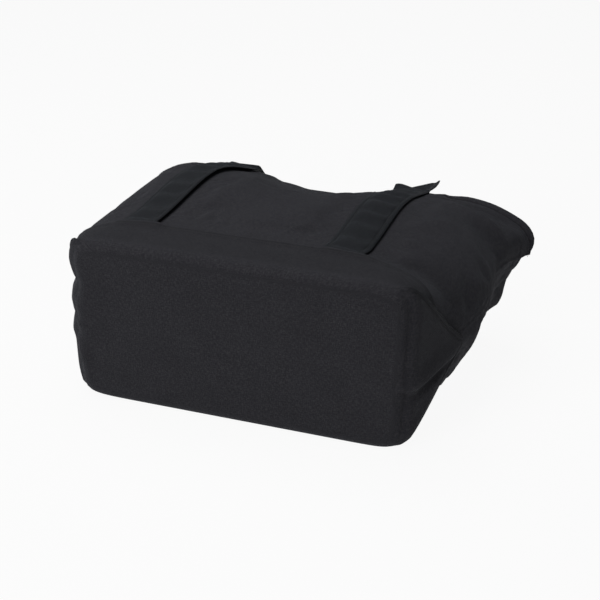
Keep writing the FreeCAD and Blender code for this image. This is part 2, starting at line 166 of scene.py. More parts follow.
# The cloth's grid: more columns near the side seams, and more rows from FINE_ROWS on up to the mouth.
SIDE_COLUMNS, TOP_COLUMNS = 20, 80
FOLD_STEPS = (90, 72, 54, 36, 18)
FINE_ROWS = 0.93
quarter = BASE_DEPTH / 2 / (BASE_WIDTH + BASE_DEPTH)
near_seam = quarter * np.linspace(0, 1, SIDE_COLUMNS, endpoint=False) ** 1.35
over_top = np.linspace(quarter, 1 - quarter, TOP_COLUMNS, endpoint=False)
COLUMN_SHARES = np.concatenate([near_seam, over_top, [1 - quarter], 1 - near_seam[::-1]])
SEAM_SHARES = np.minimum(COLUMN_SHARES, 1 - COLUMN_SHARES)
WALL_SHARES = np.concatenate([np.linspace(EDGE_RADIUS / SEAM_LENGTH, FINE_ROWS, 56, endpoint=False),
                              np.linspace(FINE_ROWS, 1.0, 19)])


def step_up(values):
    """Smooth step from 0 to 1."""
    t = np.clip(values, 0, 1)
    return t * t * (3 - 2 * t)


# The left edge is pinched at one height near the base. At the mouth the back panel tucks in at the right:
# share of the way down from the seam to the floor, and how far the cloth is drawn in there.
PINCH_DEPTH, PINCH_HEIGHT = 0.0042, 0.131
TUCK_PLACES = (0, 0.12, 0.23, 0.37, 0.46, 0.56, 0.66, 0.8, 1)
TUCK_DEPTHS = (0, 0.008, 0.013, 0.015, 0.012, 0.006, 0.000, -0.001, 0)


def settled(side, points):
    """Points of the bag after it has settled: a pinched left edge, and a back that tucks in at the mouth."""
    x, y, z = points[..., 0] - BAG_MIDDLE, points[..., 1] - BASE_PLANE, points[..., 2]
    pinch = PINCH_DEPTH * mound(z, PINCH_HEIGHT, 0.013) * mound(y, 0, 0.06) * step_up((-x - 0.13) / 0.04)
    shift = np.zeros_like(points)
    shift[..., 0] = pinch
    if side == "back":
        along = y / SEAM_LENGTH
        seam = np.interp(along, SECTIONS[:, 0], SECTIONS[:, 2]) * BASE_DEPTH
        below = np.clip((seam - z) / (seam - UNDER_STRAPS), 0, 1)
        drawn = np.interp(below, TUCK_PLACES, TUCK_DEPTHS)
        shift[..., 0] -= drawn * step_up((along - 0.70) / 0.28) * step_up((x - 0.10) / 0.08)
    return points + shift


def skin_rows(side, shares):
    """Grid of points of the limp bag: round the soft edge of the base, then up the walls at those shares."""
    rows = []
    foot = respaced(cross_section(side, 0.0)[0], COLUMN_SHARES)
    seam = SECTIONS[0, 2] * BASE_DEPTH
    drop = np.abs(foot[:, 1] - seam).max()
    for angle in np.radians(FOLD_STEPS):
        drawn_in = EDGE_RADIUS * (1 - math.cos(angle))
        x = foot[:, 0] * (1 - drawn_in / HALF_WIDTH)
        z = seam + (foot[:, 1] - seam) * (1 - drawn_in / drop)
        y = np.full_like(x, BASE_PLANE + EDGE_RADIUS * (1 - math.sin(angle)))
        rows.append(np.column_stack([BAG_MIDDLE + x, y, FLOOR_LIFT + z]))
    for along in shares:
        line, reach_r, reach_l = cross_section(side, along)
        rows.append(placed(side, along, respaced(line, COLUMN_SHARES), reach_r, reach_l))
    return settled(side, np.array(rows))


def grid_normals(grid, turned):
    """Unit normals of a grid of points; turned is 1 or -1 and picks the side."""
    along = np.gradient(grid, axis=0)
    across = np.gradient(grid, axis=1)
    normals = np.cross(along, across) * turned
    return normals / np.linalg.norm(normals, axis=2, keepdims=True)


def skin_normals(grid, side):
    """Outward normals of a wall of the bag, level at the seams so that both walls agree there."""
    normals = grid_normals(grid, OUTWARD[side])
    climb = np.gradient(grid, axis=0)
    for column, way in ((0, 1), (-1, -1)):
        level = np.column_stack([climb[:, column, 1], -climb[:, column, 0], np.zeros(len(grid))]) * way
        normals[:, column] = level / np.linalg.norm(level, axis=1, keepdims=True)
    normals[0] = (0, -1, 0)
    return normals


def grid_quads(rows, columns, flipped=False):
    """Quads of a grid of rows x columns points that face along across x along, or the other way."""
    r, c = np.meshgrid(np.arange(rows - 1), np.arange(columns - 1), indexing="ij")
    first = (r * columns + c).ravel()
    quads = np.column_stack([first, first + 1, first + columns + 1, first + columns])
    return quads[:, ::-1] if flipped else quads


def cloth_place(grid):
    """Where each point of a grid lies on the flat cloth: across from its middle column, and along."""
    across = np.array([lengths(row) - lengths(row)[len(row) // 2] for row in grid])
    along = np.array([lengths(grid[:, c]) for c in range(grid.shape[1])]).T
    return np.dstack([across, along, np.zeros_like(along)])


# How an edge of cloth is rounded, in radians from its middle, and the least wear and painted shade that it
# shows.
EDGE_TURNS, EDGE_LEAST_WEAR_AND_SHADE = (0.9, 0.0, -0.9), 0.15


def mark_points(mesh, name, values):
    """Keeps a number or a place for every point of a mesh, which its material reads."""
    kind, field = ("FLOAT_VECTOR", "vector") if values.ndim == 2 else ("FLOAT", "value")
    mesh.attributes.new(name, kind, "POINT").data.foreach_set(field, values.astype(np.float32).ravel())


def put_in_scene(name, data):
    """A new object in the scene, with its mesh, light or camera."""
    thing = bpy.data.objects.new(name, data)
    bpy.context.scene.collection.objects.link(thing)
    return thing


def sew_cloth(name, points, quads, normals, low, high, place, wear=None, shade=None):
    """A closed layer of cloth between two heights over a surface, with rounded edges all round its border."""
    points, normals, place = (np.reshape(rows, (-1, 3)) for rows in (points, normals, place))
    count = len(points)
    low, high = (np.broadcast_to(np.ravel(height), count) for height in (low, high))
    outside = points + normals * high[:, None]
    inside = points + normals * low[:, None]
    edges = dict.fromkeys((int(a), int(b)) for quad in quads for a, b in zip(quad, np.roll(quad, -1)))
    border = [(a, b) for a, b in edges if (b, a) not in edges]
    push = np.zeros_like(points)
    for a, b in border:
        sideways = np.cross(points[b] - points[a], normals[a] + normals[b])
        sideways /= max(np.linalg.norm(sideways), 1e-12)
        push[a] += sideways
        push[b] += sideways
    rim = sorted({a for a, _ in border})
    rim_place = {a: k for k, a in enumerate(rim)}
    push = push[rim] / np.maximum(np.linalg.norm(push[rim], axis=1, keepdims=True), 1e-9)
    half = ((high - low) / 2)[rim][:, None]
    middle = (outside[rim] + inside[rim]) / 2
    bulges = [middle + push * half * math.cos(turn) + normals[rim] * half * math.sin(turn)
              for turn in EDGE_TURNS]
    vertices = np.vstack([outside, inside, *bulges])
    faces = [tuple(quad) for quad in quads] + [tuple(count + quad[::-1]) for quad in quads]
    bulge_starts = [2 * count + k * len(rim) for k in range(len(EDGE_TURNS))]
    for a, b in border:
        up, down = ([end, *(start + rim_place[end] for start in bulge_starts), count + end] for end in (a, b))
        faces += [(up[k], up[k + 1], down[k + 1], down[k]) for k in range(len(up) - 1)]
    mesh = bpy.data.meshes.new(name)
    mesh.from_pydata(vertices.tolist(), [], [tuple(int(v) for v in face) for face in faces])
    mesh.validate()
    mesh.shade_smooth()
    mark_points(mesh, "cloth_place", np.vstack([place, place] + [place[rim]] * len(EDGE_TURNS)))
    # Each point keeps its wear and its painted shade, none on the inside, and every border at least a little
    # of both.
    for mark, values in (("edge_wear", wear), ("painted_shade", shade)):
        values = np.zeros(count) if values is None else np.ravel(values)
        at_edge = np.maximum(values[rim], EDGE_LEAST_WEAR_AND_SHADE)
        mark_points(mesh, mark, np.concatenate([values, values * 0] + [at_edge] * len(EDGE_TURNS)))
    return put_in_scene(name, mesh)


def sew_sheet(name, grid, normals, low, high, flipped, place=None, **marks):
    """A closed layer of cloth over a grid of points, laid flat by its own lengths if no place is given."""
    place = cloth_place(grid) if place is None else place
    return sew_cloth(name, grid, grid_quads(*grid.shape[:2], flipped), normals, low, high, place, **marks)


def soften(points, scale, seed):
    """Slow, uneven swell of limp cloth at each point, from -1 to 1."""
    return np.array([noise.noise(Vector(p) * scale + Vector((seed, 0, 0))) for p in points])


def ridge(points, line, height, width, wider=1.0):
    """Height of a crease along a line, tallest half way; its far side is so many times as wide."""
    line = np.array(line, float)
    run = lengths(line)
    best = np.full(len(points), 1e9)
    reach = np.zeros(len(points))
    sign = np.zeros(len(points))
    for k in range(len(line) - 1):
        step = line[k + 1] - line[k]
        t = np.clip(((points - line[k]) @ step) / (step @ step), 0, 1)
        off = points - (line[k] + t[:, None] * step)
        far = np.linalg.norm(off, axis=1)
        near = far < best
        best = np.where(near, far, best)
        reach = np.where(near, (run[k] + t * (run[k + 1] - run[k])) / run[-1], reach)
        sign = np.where(near, np.sign(step[0] * off[:, 1] - step[1] * off[:, 0]), sign)
    wide = np.where(sign > 0, width, width * wider)
    fade = np.sin(np.pi * np.clip(reach, 0.02, 0.98)) ** 0.5
    return height * fade * mound(best, 0, wide)


panels = {}
for side in ("front", "back"):
    grid = skin_rows(side, WALL_SHARES)
    panels[side] = {"grid": grid, "normals": skin_normals(grid, side)}

STRAP_SPACING, STRAP_SHIFT, STRAP_WIDTH = 0.219, -0.0135, 0.043
STRAP_MIDDLES = [STRAP_SHIFT - STRAP_SPACING / 2, STRAP_SHIFT + STRAP_SPACING / 2]
STRAP_LEANS = {"front": (0.027, 0.016), "back": (0.0, 0.0)}
# Where cloth is held fast: beside the side seams, as a share of the girth, and beside a strap's middle.
SEAM_HOLD, STRAP_HOLD = 0.05, 0.023


def seat(side):
    """How freely a panel's points can move: not at the seams, the base, the bottom layer or the straps."""
    grid = panels[side]["grid"]
    along = (grid[:, :, 1] - BASE_PLANE) / PANEL_LENGTH[side]
    free = step_up((along - TURN_UP_SHARE - 0.01) / 0.10) * step_up(SEAM_SHARES / SEAM_HOLD)
    for middle, lean in zip(STRAP_MIDDLES, STRAP_LEANS[side]):
        off = np.abs(grid[:, :, 0] - BAG_MIDDLE - middle - lean * above_turn_up(along))
        free = free * step_up((off - STRAP_HOLD) / 0.026)
    return free


# Creases that the lying bag shows: line of (x, y) places, height, width, and how many times as wide its far
# side is.
CREASES = {
    "front": [
        ([(-0.198, -0.080), (-0.193, -0.020), (-0.191, 0.080)], -0.0028, 0.024, 1.0),
        ([(-0.060, 0.072), (-0.022, 0.046), (0.030, 0.030)], 0.0036, 0.018, 1.0),
        ([(0.118, -0.112), (0.146, -0.080), (0.170, -0.030)], 0.0016, 0.011, 1.8),
        ([(0.110, -0.070), (0.130, -0.064), (0.150, -0.050)], 0.0018, 0.006, 1.5),
        ([(0.118, -0.030), (0.138, -0.022), (0.165, 0.000)], 0.0016, 0.007, 1.5),
        ([(0.122, 0.010), (0.140, 0.014), (0.170, 0.022)], 0.0014, 0.007, 1.6),
        ([(0.186, -0.078), (0.196, -0.062), (0.206, -0.040)], 0.0020, 0.004, 1.3),
        ([(-0.092, -0.070), (-0.060, 0.000), (-0.040, 0.070)], 0.0016, 0.016, 1.5),
        ([(-0.050, -0.100), (0.000, -0.060), (0.050, -0.040)], 0.0012, 0.014, 1.4),
        ([(-0.085, 0.060), (-0.030, 0.040), (0.050, 0.055)], -0.0012, 0.014, 1.2),
        ([(-0.060, 0.085), (0.000, 0.075), (0.060, 0.088)], 0.0012, 0.007, 1.4),
        ([(-0.200, -0.060), (-0.180, 0.010), (-0.150, 0.060)], 0.0018, 0.012, 1.5),
        ([(-0.165, -0.095), (-0.175, -0.040), (-0.190, 0.030)], -0.0015, 0.010, 1.0),
        ([(-0.185, 0.030), (-0.160, 0.066), (-0.150, 0.088)], 0.0014, 0.007, 1.4),
    ],
    "back": [
        ([(-0.060, -0.100), (0.000, -0.030), (0.020, 0.060)], 0.0014, 0.014, 1.4),
        ([(0.130, -0.090), (0.160, -0.020), (0.190, 0.060)], 0.0020, 0.012, 1.5),
        ([(-0.150, -0.080), (-0.180, 0.000), (-0.190, 0.060)], 0.0018, 0.012, 1.3),
    ],
}
# At the mouth's right end one soft crease runs on to the seam, with a shallow hollow above it.
MOUTH_CREASES = {"front": [
    ([(0.128, 0.041), (0.150, 0.043), (0.174, 0.041), (0.199, 0.043), (0.217, 0.056), (0.232, 0.073)],
     0.0058, 0.0065, 2.2),
    ([(0.160, 0.068), (0.190, 0.068), (0.220, 0.072)], -0.0042, 0.010, 1.0),
], "back": []}
SWELL_SEED = {"front": 3.0, "back": 9.0}
HEM_WIDTH = 0.025
DRAPE_STEPS, DRAPE_LIMIT = 20, 0.0020
# The side seams pucker in short waves beside a sunk line, and the hem is a small step in the cloth.
PUCKER_LENGTH, PUCKER_DEPTH = 0.013, 0.0004
SEAM_SINK, SEAM_SINK_PLACE = 0.0006, 0.004
HEM_STEP, HEM_STEP_RUN = 0.0005, 0.003
FLOOR_CLEARANCE = 0.0002


def room_to_floor(points, normals):
    """How far cloth can stand off those points along their normals before it meets the floor."""
    return (points[..., 2] - FLOOR_CLEARANCE) / np.maximum(-normals[..., 2], 0.05)


def draped(side):
    """How far limp canvas moves where it is a little too wide for its seams, from a cloth simulation."""
    grid, normals = panels[side]["grid"], panels[side]["normals"]
    mesh = bpy.data.meshes.new("draping")
    mesh.from_pydata(grid.reshape(-1, 3).tolist(), [], grid_quads(*grid.shape[:2]).tolist())
    trial = put_in_scene("draping", mesh)
    pins = trial.vertex_groups.new(name="sewn")
    for k, free in enumerate(seat(side).ravel()):
        pins.add([k], float(1 - free), "REPLACE")
    # The cloth is three per cent too large for its seams and weighs nothing, so all that it does is buckle.
    cloth = trial.modifiers.new("cloth", "CLOTH")
    cloth.settings.quality = 5
    cloth.settings.mass = 0.3
    cloth.settings.tension_stiffness = cloth.settings.compression_stiffness = 25
    cloth.settings.bending_stiffness = 4
    cloth.settings.shrink_min = -0.03
    cloth.settings.vertex_group_mass = "sewn"
    cloth.settings.effector_weights.gravity = 0
    cloth.collision_settings.use_collision = False
    for number in range(DRAPE_STEPS):
        bpy.context.scene.frame_set(number + 1)
    result = trial.evaluated_get(bpy.context.evaluated_depsgraph_get())
    places = np.empty(grid.size, dtype=np.float32)
    result.data.vertices.foreach_get("co", places)
    moved = ((places.reshape(grid.shape) - grid) * normals).sum(axis=2)
    bpy.context.scene.frame_set(1)
    bpy.data.objects.remove(trial)
    bpy.data.meshes.remove(mesh)
    return DRAPE_LIMIT * np.tanh(moved / DRAPE_LIMIT)


def slackened(side):
    """Small slack of a limp panel over its resting shape: creases, swell, puckered seams and the sewn hem."""
    grid, normals = panels[side]["grid"], panels[side]["normals"]
    points = grid.reshape(-1, 3)
    swell = soften(points, 14.0, SWELL_SEED[side]) * 0.0014 + soften(points, 42.0, SWELL_SEED[side]) * 0.0005
    folds = sum(ridge(points[:, :2], *crease) for crease in CREASES[side])
    slack = (swell + folds).reshape(grid.shape[:2]) * seat(side)
    slack = slack + draped(side)
    from_seam = SEAM_SHARES * (BASE_WIDTH + BASE_DEPTH)
    share = np.concatenate([np.zeros(len(FOLD_STEPS)), WALL_SHARES])[:, None]
    run = share * SEAM_LENGTH
    sewn = step_up((run - TURN_UP) / 0.03)
    gathered = np.sin(2 * math.pi * run / PUCKER_LENGTH + 1.5 * np.sin(run * 60)) * sewn
    slack = slack + PUCKER_DEPTH * gathered * mound(from_seam, 0, 0.010)
    slack = slack - SEAM_SINK * mound(from_seam, SEAM_SINK_PLACE, 0.0025) * sewn
    at_mouth = sum((ridge(points[:, :2], *crease) for crease in MOUTH_CREASES[side]), np.zeros(len(points)))
    slack = slack + at_mouth.reshape(slack.shape) * step_up(from_seam / 0.016)
    to_rim = (1 - share) * PANEL_LENGTH[side]
    slack = slack - HEM_STEP * mound(to_rim, HEM_WIDTH - HEM_STEP_RUN, 0.0012)
    slack = slack + HEM_STEP * step_up((HEM_WIDTH - to_rim) / HEM_STEP_RUN)
    return np.minimum(slack, room_to_floor(grid, normals) - CANVAS)


for side, panel in panels.items():
    panel["slack"] = slackened(side)


def connect(tree, node, inputs):
    """Gives each named input of a node a value, or links it to another node's output."""
    for name, value in inputs.items():
        if isinstance(value, bpy.types.NodeSocket):
            tree.links.new(value, node.inputs[name])
        else:
            node.inputs[name].default_value = value


def add_node(tree, kind, inputs=None, **settings):
    """A new shader node with its settings and inputs."""
    node = tree.nodes.new(f"ShaderNode{kind}")
    for setting, value in settings.items():
        setattr(node, setting, value)
    connect(tree, node, inputs or {})
    return node


def math_node(tree, operation, *values):
    """Output of a new node that works on values or on other nodes' outputs."""
    return add_node(tree, "Math", dict(enumerate(values)), operation=operation).outputs[0]


def effect_group(name, inputs, outputs):
    """An empty node group with named inputs and outputs, its input sockets and its output node."""
    group = bpy.data.node_groups.new(name, "ShaderNodeTree")
    for way, sockets in (("INPUT", inputs), ("OUTPUT", outputs)):
        for socket, kind in sockets.items():
            group.interface.new_socket(socket, in_out=way, socket_type=f"NodeSocket{kind}")
    return group, group.nodes.new("NodeGroupInput").outputs, group.nodes.new("NodeGroupOutput")


def plain_weave_group():
    """Plain weave seen close: the height of warp and weft threads, and how light each thread is."""
    group, entry, leave = effect_group("plain_weave", {"Place": "Vector", "Threads": "Float"},
                                       {"Height": "Float", "Thread tone": "Float"})

    def worked(operation, *values):
        return math_node(group, operation, *values)

    wobble = add_node(group, "TexNoise", {"Scale": 90, "Detail": 2, "Vector": entry["Place"]})
    stray = add_node(group, "VectorMath", {0: wobble.outputs["Color"], 1: (0.0008, 0.0008, 0),
                                           2: entry["Place"]}, operation="MULTIPLY_ADD")
    parts = add_node(group, "SeparateXYZ", {0: stray.outputs[0]}).outputs
    warp, weft = (worked("MULTIPLY", parts[axis], entry["Threads"]) for axis in "XY")
    warp_round, weft_round = (worked("ABSOLUTE", worked("SINE", worked("MULTIPLY", threads, math.pi)))
                              for threads in (warp, weft))
    warp_number, weft_number = (worked("FLOOR", threads) for threads in (warp, weft))
    over = worked("PINGPONG", worked("ADD", warp_number, weft_number), 1.0)
    under = worked("SUBTRACT", 1.0, over)
    picked = worked("ADD", worked("MULTIPLY", over, worked("MULTIPLY", warp_number, 1.37)),
                    worked("MULTIPLY", under, worked("MULTIPLY", weft_number, 2.11)))
    tone = add_node(group, "TexWhiteNoise", {"W": picked}, noise_dimensions="1D")
    connect(group, leave, {
        "Height": worked("ADD", worked("MULTIPLY", over, warp_round), worked("MULTIPLY", under, weft_round)),
        "Thread tone": tone.outputs["Value"]})
    return group


def cloth_age_group():
    """Where the dye is uneven or rubbed: clouds, thick and thin yarns, flecks of lint, and worn folds."""
    group, entry, leave = effect_group("cloth_age", {"Place": "Vector", "Edge": "Float"},
                                       dict.fromkeys(("Clouds", "Yarns", "Flecks", "Worn"), "Float"))
    clouds = add_node(group, "TexNoise", {"Scale": 26, "Detail": 5, "Roughness": 0.7,
                                          "Vector": entry["Place"]}).outputs["Fac"]
    slubs = []
    for stretch in ((1000, 260, 1), (280, 940, 1)):
        squeezed = add_node(group, "VectorMath", {0: entry["Place"], 1: stretch}, operation="MULTIPLY")
        yarn = add_node(group, "TexNoise", {"Scale": 1.0, "Detail": 2, "Vector": squeezed.outputs[0]})
        slubs.append(yarn.outputs["Fac"])
    yarns = add_node(group, "MapRange", {"From Min": 0.82, "From Max": 1.22,
                                         "Value": math_node(group, "ADD", *slubs)})
    specks = add_node(group, "TexVoronoi", {"Scale": 70, "Vector": entry["Place"]}).outputs
    near = add_node(group, "MapRange", {"From Min": 0.045, "From Max": 0.02, "Value": specks["Distance"]})
    rare = math_node(group, "GREATER_THAN", specks["Color"], 0.90)
    connect(group, leave, {
        "Clouds": clouds, "Yarns": yarns.outputs["Result"],
        "Flecks": math_node(group, "MULTIPLY", near.outputs["Result"], rare),
        "Worn": math_node(group, "MULTIPLY", entry["Edge"], clouds)})
    return group


PLAIN_WEAVE = plain_weave_group()
CLOTH_AGE = cloth_age_group()
LINT = (0.16, 0.16, 0.15)


def new_material(name):
    """A new material, its nodes, and the shader in it."""
    material = bpy.data.materials.new(name)
    material.use_nodes = True
    return material, material.node_tree, material.node_tree.nodes["Principled BSDF"]


def woven_cotton(name, colour, yarn_tint, threads, roughness, sheen, bump, tone_spread):
    """Dyed cotton cloth: weave, uneven dye, lint, rubbed edges and painted shade over a matte, slightly fuzzy
    surface.
    """
    material, tree, shader = new_material(name)
    place, edge, painted_shade_amount = (add_node(tree, "Attribute", attribute_name=mark).outputs
                            for mark in ("cloth_place", "edge_wear", "painted_shade"))
    weave = add_node(tree, "Group", node_tree=PLAIN_WEAVE)
    connect(tree, weave, {"Threads": threads, "Place": place["Vector"]})
    age = add_node(tree, "Group", node_tree=CLOTH_AGE)
    connect(tree, age, {"Place": place["Vector"], "Edge": edge["Fac"]})
    weave, age = weave.outputs, age.outputs

    def tinted(before, amount, shade):
        before = (*before, 1) if isinstance(before, tuple) else before
        mix = add_node(tree, "Mix", data_type="RGBA")
        connect(tree, mix, {"Factor": amount, "A": before, "B": (*shade, 1)})
        return mix.outputs["Result"]

    def scaled(value, low, high):
        return add_node(tree, "MapRange", {"To Min": low, "To Max": high, "Value": value}).outputs["Result"]

    lighter, darker, rubbed, painted_shade_colour = (tuple(c * gain + lift for c in colour) for gain, lift in (
        (1.55, 0.004), (0.62, 0), (2.0, 0.006), (0.08, 0)))
    cloth = tinted(colour, scaled(weave["Thread tone"], 0.0, tone_spread), lighter)
    cloth = tinted(cloth, scaled(age["Yarns"], 0.0, tone_spread), yarn_tint)
    cloth = tinted(cloth, scaled(age["Yarns"], tone_spread, 0.0), darker)
    cloth = tinted(cloth, scaled(age["Clouds"], -0.15, 0.55), darker)
    cloth = tinted(cloth, scaled(age["Worn"], 0.0, 0.8), rubbed)
    cloth = tinted(cloth, age["Flecks"], LINT)
    # Painted shade: where a point is marked for it, the cloth is darkened towards near black for shadow in
    # creases, crevices, seams and edges.
    cloth = tinted(cloth, scaled(painted_shade_amount["Fac"], 0.0, 0.85), painted_shade_colour)
    relief = add_node(tree, "Bump", {"Strength": bump, "Distance": 0.0004, "Height": weave["Height"]})
    connect(tree, shader, {
        "Base Color": cloth, "Normal": relief.outputs["Normal"],
        "Roughness": scaled(age["Clouds"], roughness - 0.06, roughness + 0.06),
        "Specular IOR Level": 0.25, "Sheen Weight": sheen, "Sheen Roughness": 0.45,
        "Sheen Tint": (0.55, 0.60, 0.68, 1)})
    return material


BODY_CANVAS = woven_cotton("dyed_canvas", colour=(0.0262, 0.0253, 0.0318), yarn_tint=(0.054, 0.0525, 0.056),
                           threads=1150, roughness=0.88, sheen=0.10, bump=0.6, tone_spread=0.62)


def finish_piece(piece, material, body, nodes=()):
    """Gives a piece its cloth, and lets it stand for its CAD nodes and move with their body."""
    piece.data.materials.append(material)
    if nodes:
        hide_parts(*nodes)
    if body:
        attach(piece, body)


# The cloth turns over the rim in steps, in degrees, round a fold half a layer gap wide.
RIM_FOLD, RIM_TURNS, RIM_TURN_RUN = LAYER_GAP / 2, (36, 72, 108, 144, 180), 0.0007
RIM_WEAR = 0.5


def folded_rim(grid, normals, slack):
    """More rows that carry a panel's edge over the rim and back inside, where the hem goes on."""
    rim = grid[-1] + normals[-1] * (slack[-1] - RIM_FOLD)[:, None]
    onward = grid[-1] - grid[-2]
    onward -= normals[-1] * (onward * normals[-1]).sum(axis=1, keepdims=True)
    onward /= np.linalg.norm(onward, axis=1, keepdims=True)
    turned = [normals[-1] * math.cos(angle) + onward * math.sin(angle) for angle in np.radians(RIM_TURNS)]
    return np.array([rim] * len(RIM_TURNS)), np.array(turned)


for side, panel in panels.items():
    grid, normals, slack = panel["grid"], panel["normals"], panel["slack"]
    fold, fold_facing = folded_rim(grid, normals, slack)
    place = cloth_place(grid)
    over = np.repeat(place[-1:], len(fold), axis=0)
    over[:, :, 1] += np.arange(1, len(fold) + 1)[:, None] * RIM_TURN_RUN
    low = np.vstack([slack, np.full(fold.shape[:2], RIM_FOLD)])
    wear = np.zeros(low.shape)
    wear[-6:-3] = RIM_WEAR
    cloth = sew_sheet(f"{side}_panel_cloth", np.vstack([grid, fold]), np.vstack([normals, fold_facing]),
                      low, low + CANVAS, OUTWARD[side] > 0, np.vstack([place, over]), wear=wear)
    finish_piece(cloth, BODY_CANVAS, "bag", [f"{side}_panel"])

# --- Inner base -----------------------------------------------------------------------------------------
# The canvas floor inside the bag, cut from the same dyed cotton as the panels. It is sewn to their lower
# edges all round, and the bottom layer lies under it on the outside.


def ring_of(halves, row):
    """A closed ring of points round the bag from the right seam: over the front, back under it."""
    return np.vstack([halves["front"][row], halves["back"][row][-2:0:-1]])


def base_sheet(ring):
    """Rows of points that fill the ring round the base, from its upper edge down, with columns across."""
    top_end = SIDE_COLUMNS + TOP_COLUMNS
    floor_start = len(COLUMN_SHARES) - 1 + SIDE_COLUMNS
    floor_end = floor_start + TOP_COLUMNS
    top, bottom = ring[SIDE_COLUMNS:top_end + 1], ring[floor_start:floor_end + 1][::-1]
    left = ring[top_end:floor_start + 1]
    right = np.vstack([ring[floor_end:], ring[:SIDE_COLUMNS + 1]])[::-1]
    s = np.linspace(0, 1, len(top))[None, :, None]
    t = np.linspace(0, 1, len(left))[:, None, None]
    return ((1 - t) * top[None] + t * bottom[None] + (1 - s) * right[:, None] + s * left[:, None]
            - (1 - s) * (1 - t) * top[0] - s * (1 - t) * top[-1]
            - (1 - s) * t * bottom[0] - s * t * bottom[-1])


FACING_OUT = [0.0, -1.0, 0.0]
base_points = base_sheet(ring_of({side: panel["grid"] for side, panel in panels.items()}, 0))
inner_base = sew_sheet("inner_base_cloth", base_points, np.broadcast_to(FACING_OUT, base_points.shape),
                       0.0, CANVAS, False, base_points[:, :, [0, 2, 1]])
finish_piece(inner_base, BODY_CANVAS, "bag", ["inner_base"])

# --- Bottom layer ---------------------------------------------------------------------------------------
# A second layer of the same canvas outside the bottom, turned up on all four walls. Its upper edge is
# folded under and sewn down, and the ends of the four straps are tucked in beneath it.
RIM_STITCHES = 0.0045
# Rows up the layer as shares of its height: closer together towards its rim.
LAYER_STEPS = np.array([0, 0.1, 0.2, 0.3, 0.4, 0.5, 0.58, 0.66, 0.74, 0.81, 0.86, 0.89, 0.915, 0.935, 0.955,
                        0.975, 0.99, 1.0])
layer_start = EDGE_RADIUS / SEAM_LENGTH
layer_skins = {side: skin_rows(side, layer_start + (TURN_UP_SHARE - layer_start) * np.linspace(0, 1, 25))
               for side in panels}
layer_normals = {side: skin_normals(grid, side) for side, grid in layer_skins.items()}
ring_count = len(layer_skins["front"])
rings = np.array([ring_of(layer_skins, row) for row in range(ring_count)])
ring_facing = np.array([ring_of(layer_normals, row) for row in range(ring_count)])
ring_size = rings.shape[1]
folds = len(FOLD_STEPS)

# The layer was pulled round the bag's corners, so its rim dips there by a share of its height: at four
# places, each that far round from a side seam.
CORNER_DIP, CORNER_REACH = 0.34, 0.070
ring_run = lengths(np.vstack([rings[-1], rings[-1][:1]]))[:-1]
half_girth = BASE_WIDTH + BASE_DEPTH
corner_runs = (CORNER_REACH, half_girth - CORNER_REACH, half_girth + CORNER_REACH,
               2 * half_girth - CORNER_REACH)
dip = sum(CORNER_DIP * mound(ring_run, place, 0.033) for place in corner_runs)


def dipped(rows):
    """The layer's rows above its soft edge, drawn down column by column where the rim dips."""
    upper = rows[folds:]
    steps = np.linspace(0, 1, len(upper))
    result = np.empty((len(LAYER_STEPS), ring_size, 3))
    for column in range(ring_size):
        result[:, column] = read_along(LAYER_STEPS * (1 - dip[column]), steps, upper[:, column])
    return np.concatenate([rows[:folds], result])


rings, ring_facing = dipped(rings), dipped(ring_facing)
ring_facing /= np.linalg.norm(ring_facing, axis=2, keepdims=True)
rim_share = np.concatenate([np.zeros(folds), LAYER_STEPS])

# Over the tucked-in strap ends the rim stands up, sloping off beside them, and its folded edge is thicker.
TUCK_LIFT, TUCK_SLOPE = 0.0021, 0.008
FOLD_LIFT, FOLD_WIDTH, STITCH_SINK = 0.0007, 0.007, 0.0005


def over_straps(points):
    """How far the layer rides up over the strap ends tucked in under its rim: 1 over their middles."""
    off = np.min([np.abs(points[:, 0] - BAG_MIDDLE - middle) for middle in STRAP_MIDDLES], axis=0)
    return step_up((STRAP_WIDTH / 2 + TUCK_SLOPE - off) / TUCK_SLOPE)


def layer_lift(ring, share):
    """Height of one row of the layer over its flat state: strap ends, the folded rim and its stitches."""
    below_rim = (1 - share) * TURN_UP
    tucked = TUCK_LIFT * over_straps(ring) * np.clip(1 - (below_rim - 0.004) / 0.012, 0, 1) ** 2
    folded = FOLD_LIFT * np.clip(1 - (below_rim - FOLD_WIDTH) / 0.003, 0, 1)
    groove = STITCH_SINK * mound(below_rim, RIM_STITCHES, 0.0011)
    ripple = 0.0004 * soften(ring, 60.0, 31.0) * np.clip(1 - below_rim / 0.02, 0, 1)
    slow = 0.0007 * soften(ring, 16.0, 12.0) * (share > 0)
    return tucked + folded - groove + ripple + slow


sheet_points = base_sheet(rings[0])
sheet_flat = sheet_points.reshape(-1, 3)
sheet_index = {tuple(np.round(point, 7)): k for k, point in enumerate(sheet_flat)}
ring_ids = [np.array([sheet_index[tuple(np.round(point, 7))] for point in rings[0]])]
ring_ids += [len(sheet_flat) + k * ring_size + np.arange(ring_size) for k in range(len(rings) - 1)]
layer_quads = [tuple(quad) for quad in grid_quads(*sheet_points.shape[:2])]
for low_ids, high_ids in zip(ring_ids, ring_ids[1:]):
    for k in range(ring_size):
        n = (k + 1) % ring_size
        layer_quads.append((low_ids[k], high_ids[k], high_ids[n], low_ids[n]))
layer_points = np.vstack([sheet_flat, rings[1:].reshape(-1, 3)])
layer_facing = np.vstack([np.tile(FACING_OUT, (len(sheet_flat), 1)), ring_facing[1:].reshape(-1, 3)])
climb = np.array([lengths(rings[:, k]) for k in range(ring_size)]).T
layer_place = np.vstack([
    sheet_flat[:, [0, 2, 1]] * (1, 1, 0),
    np.dstack([np.tile(ring_run, (len(rings) - 1, 1)) + 0.4, climb[1:], climb[1:] * 0]).reshape(-1, 3)])

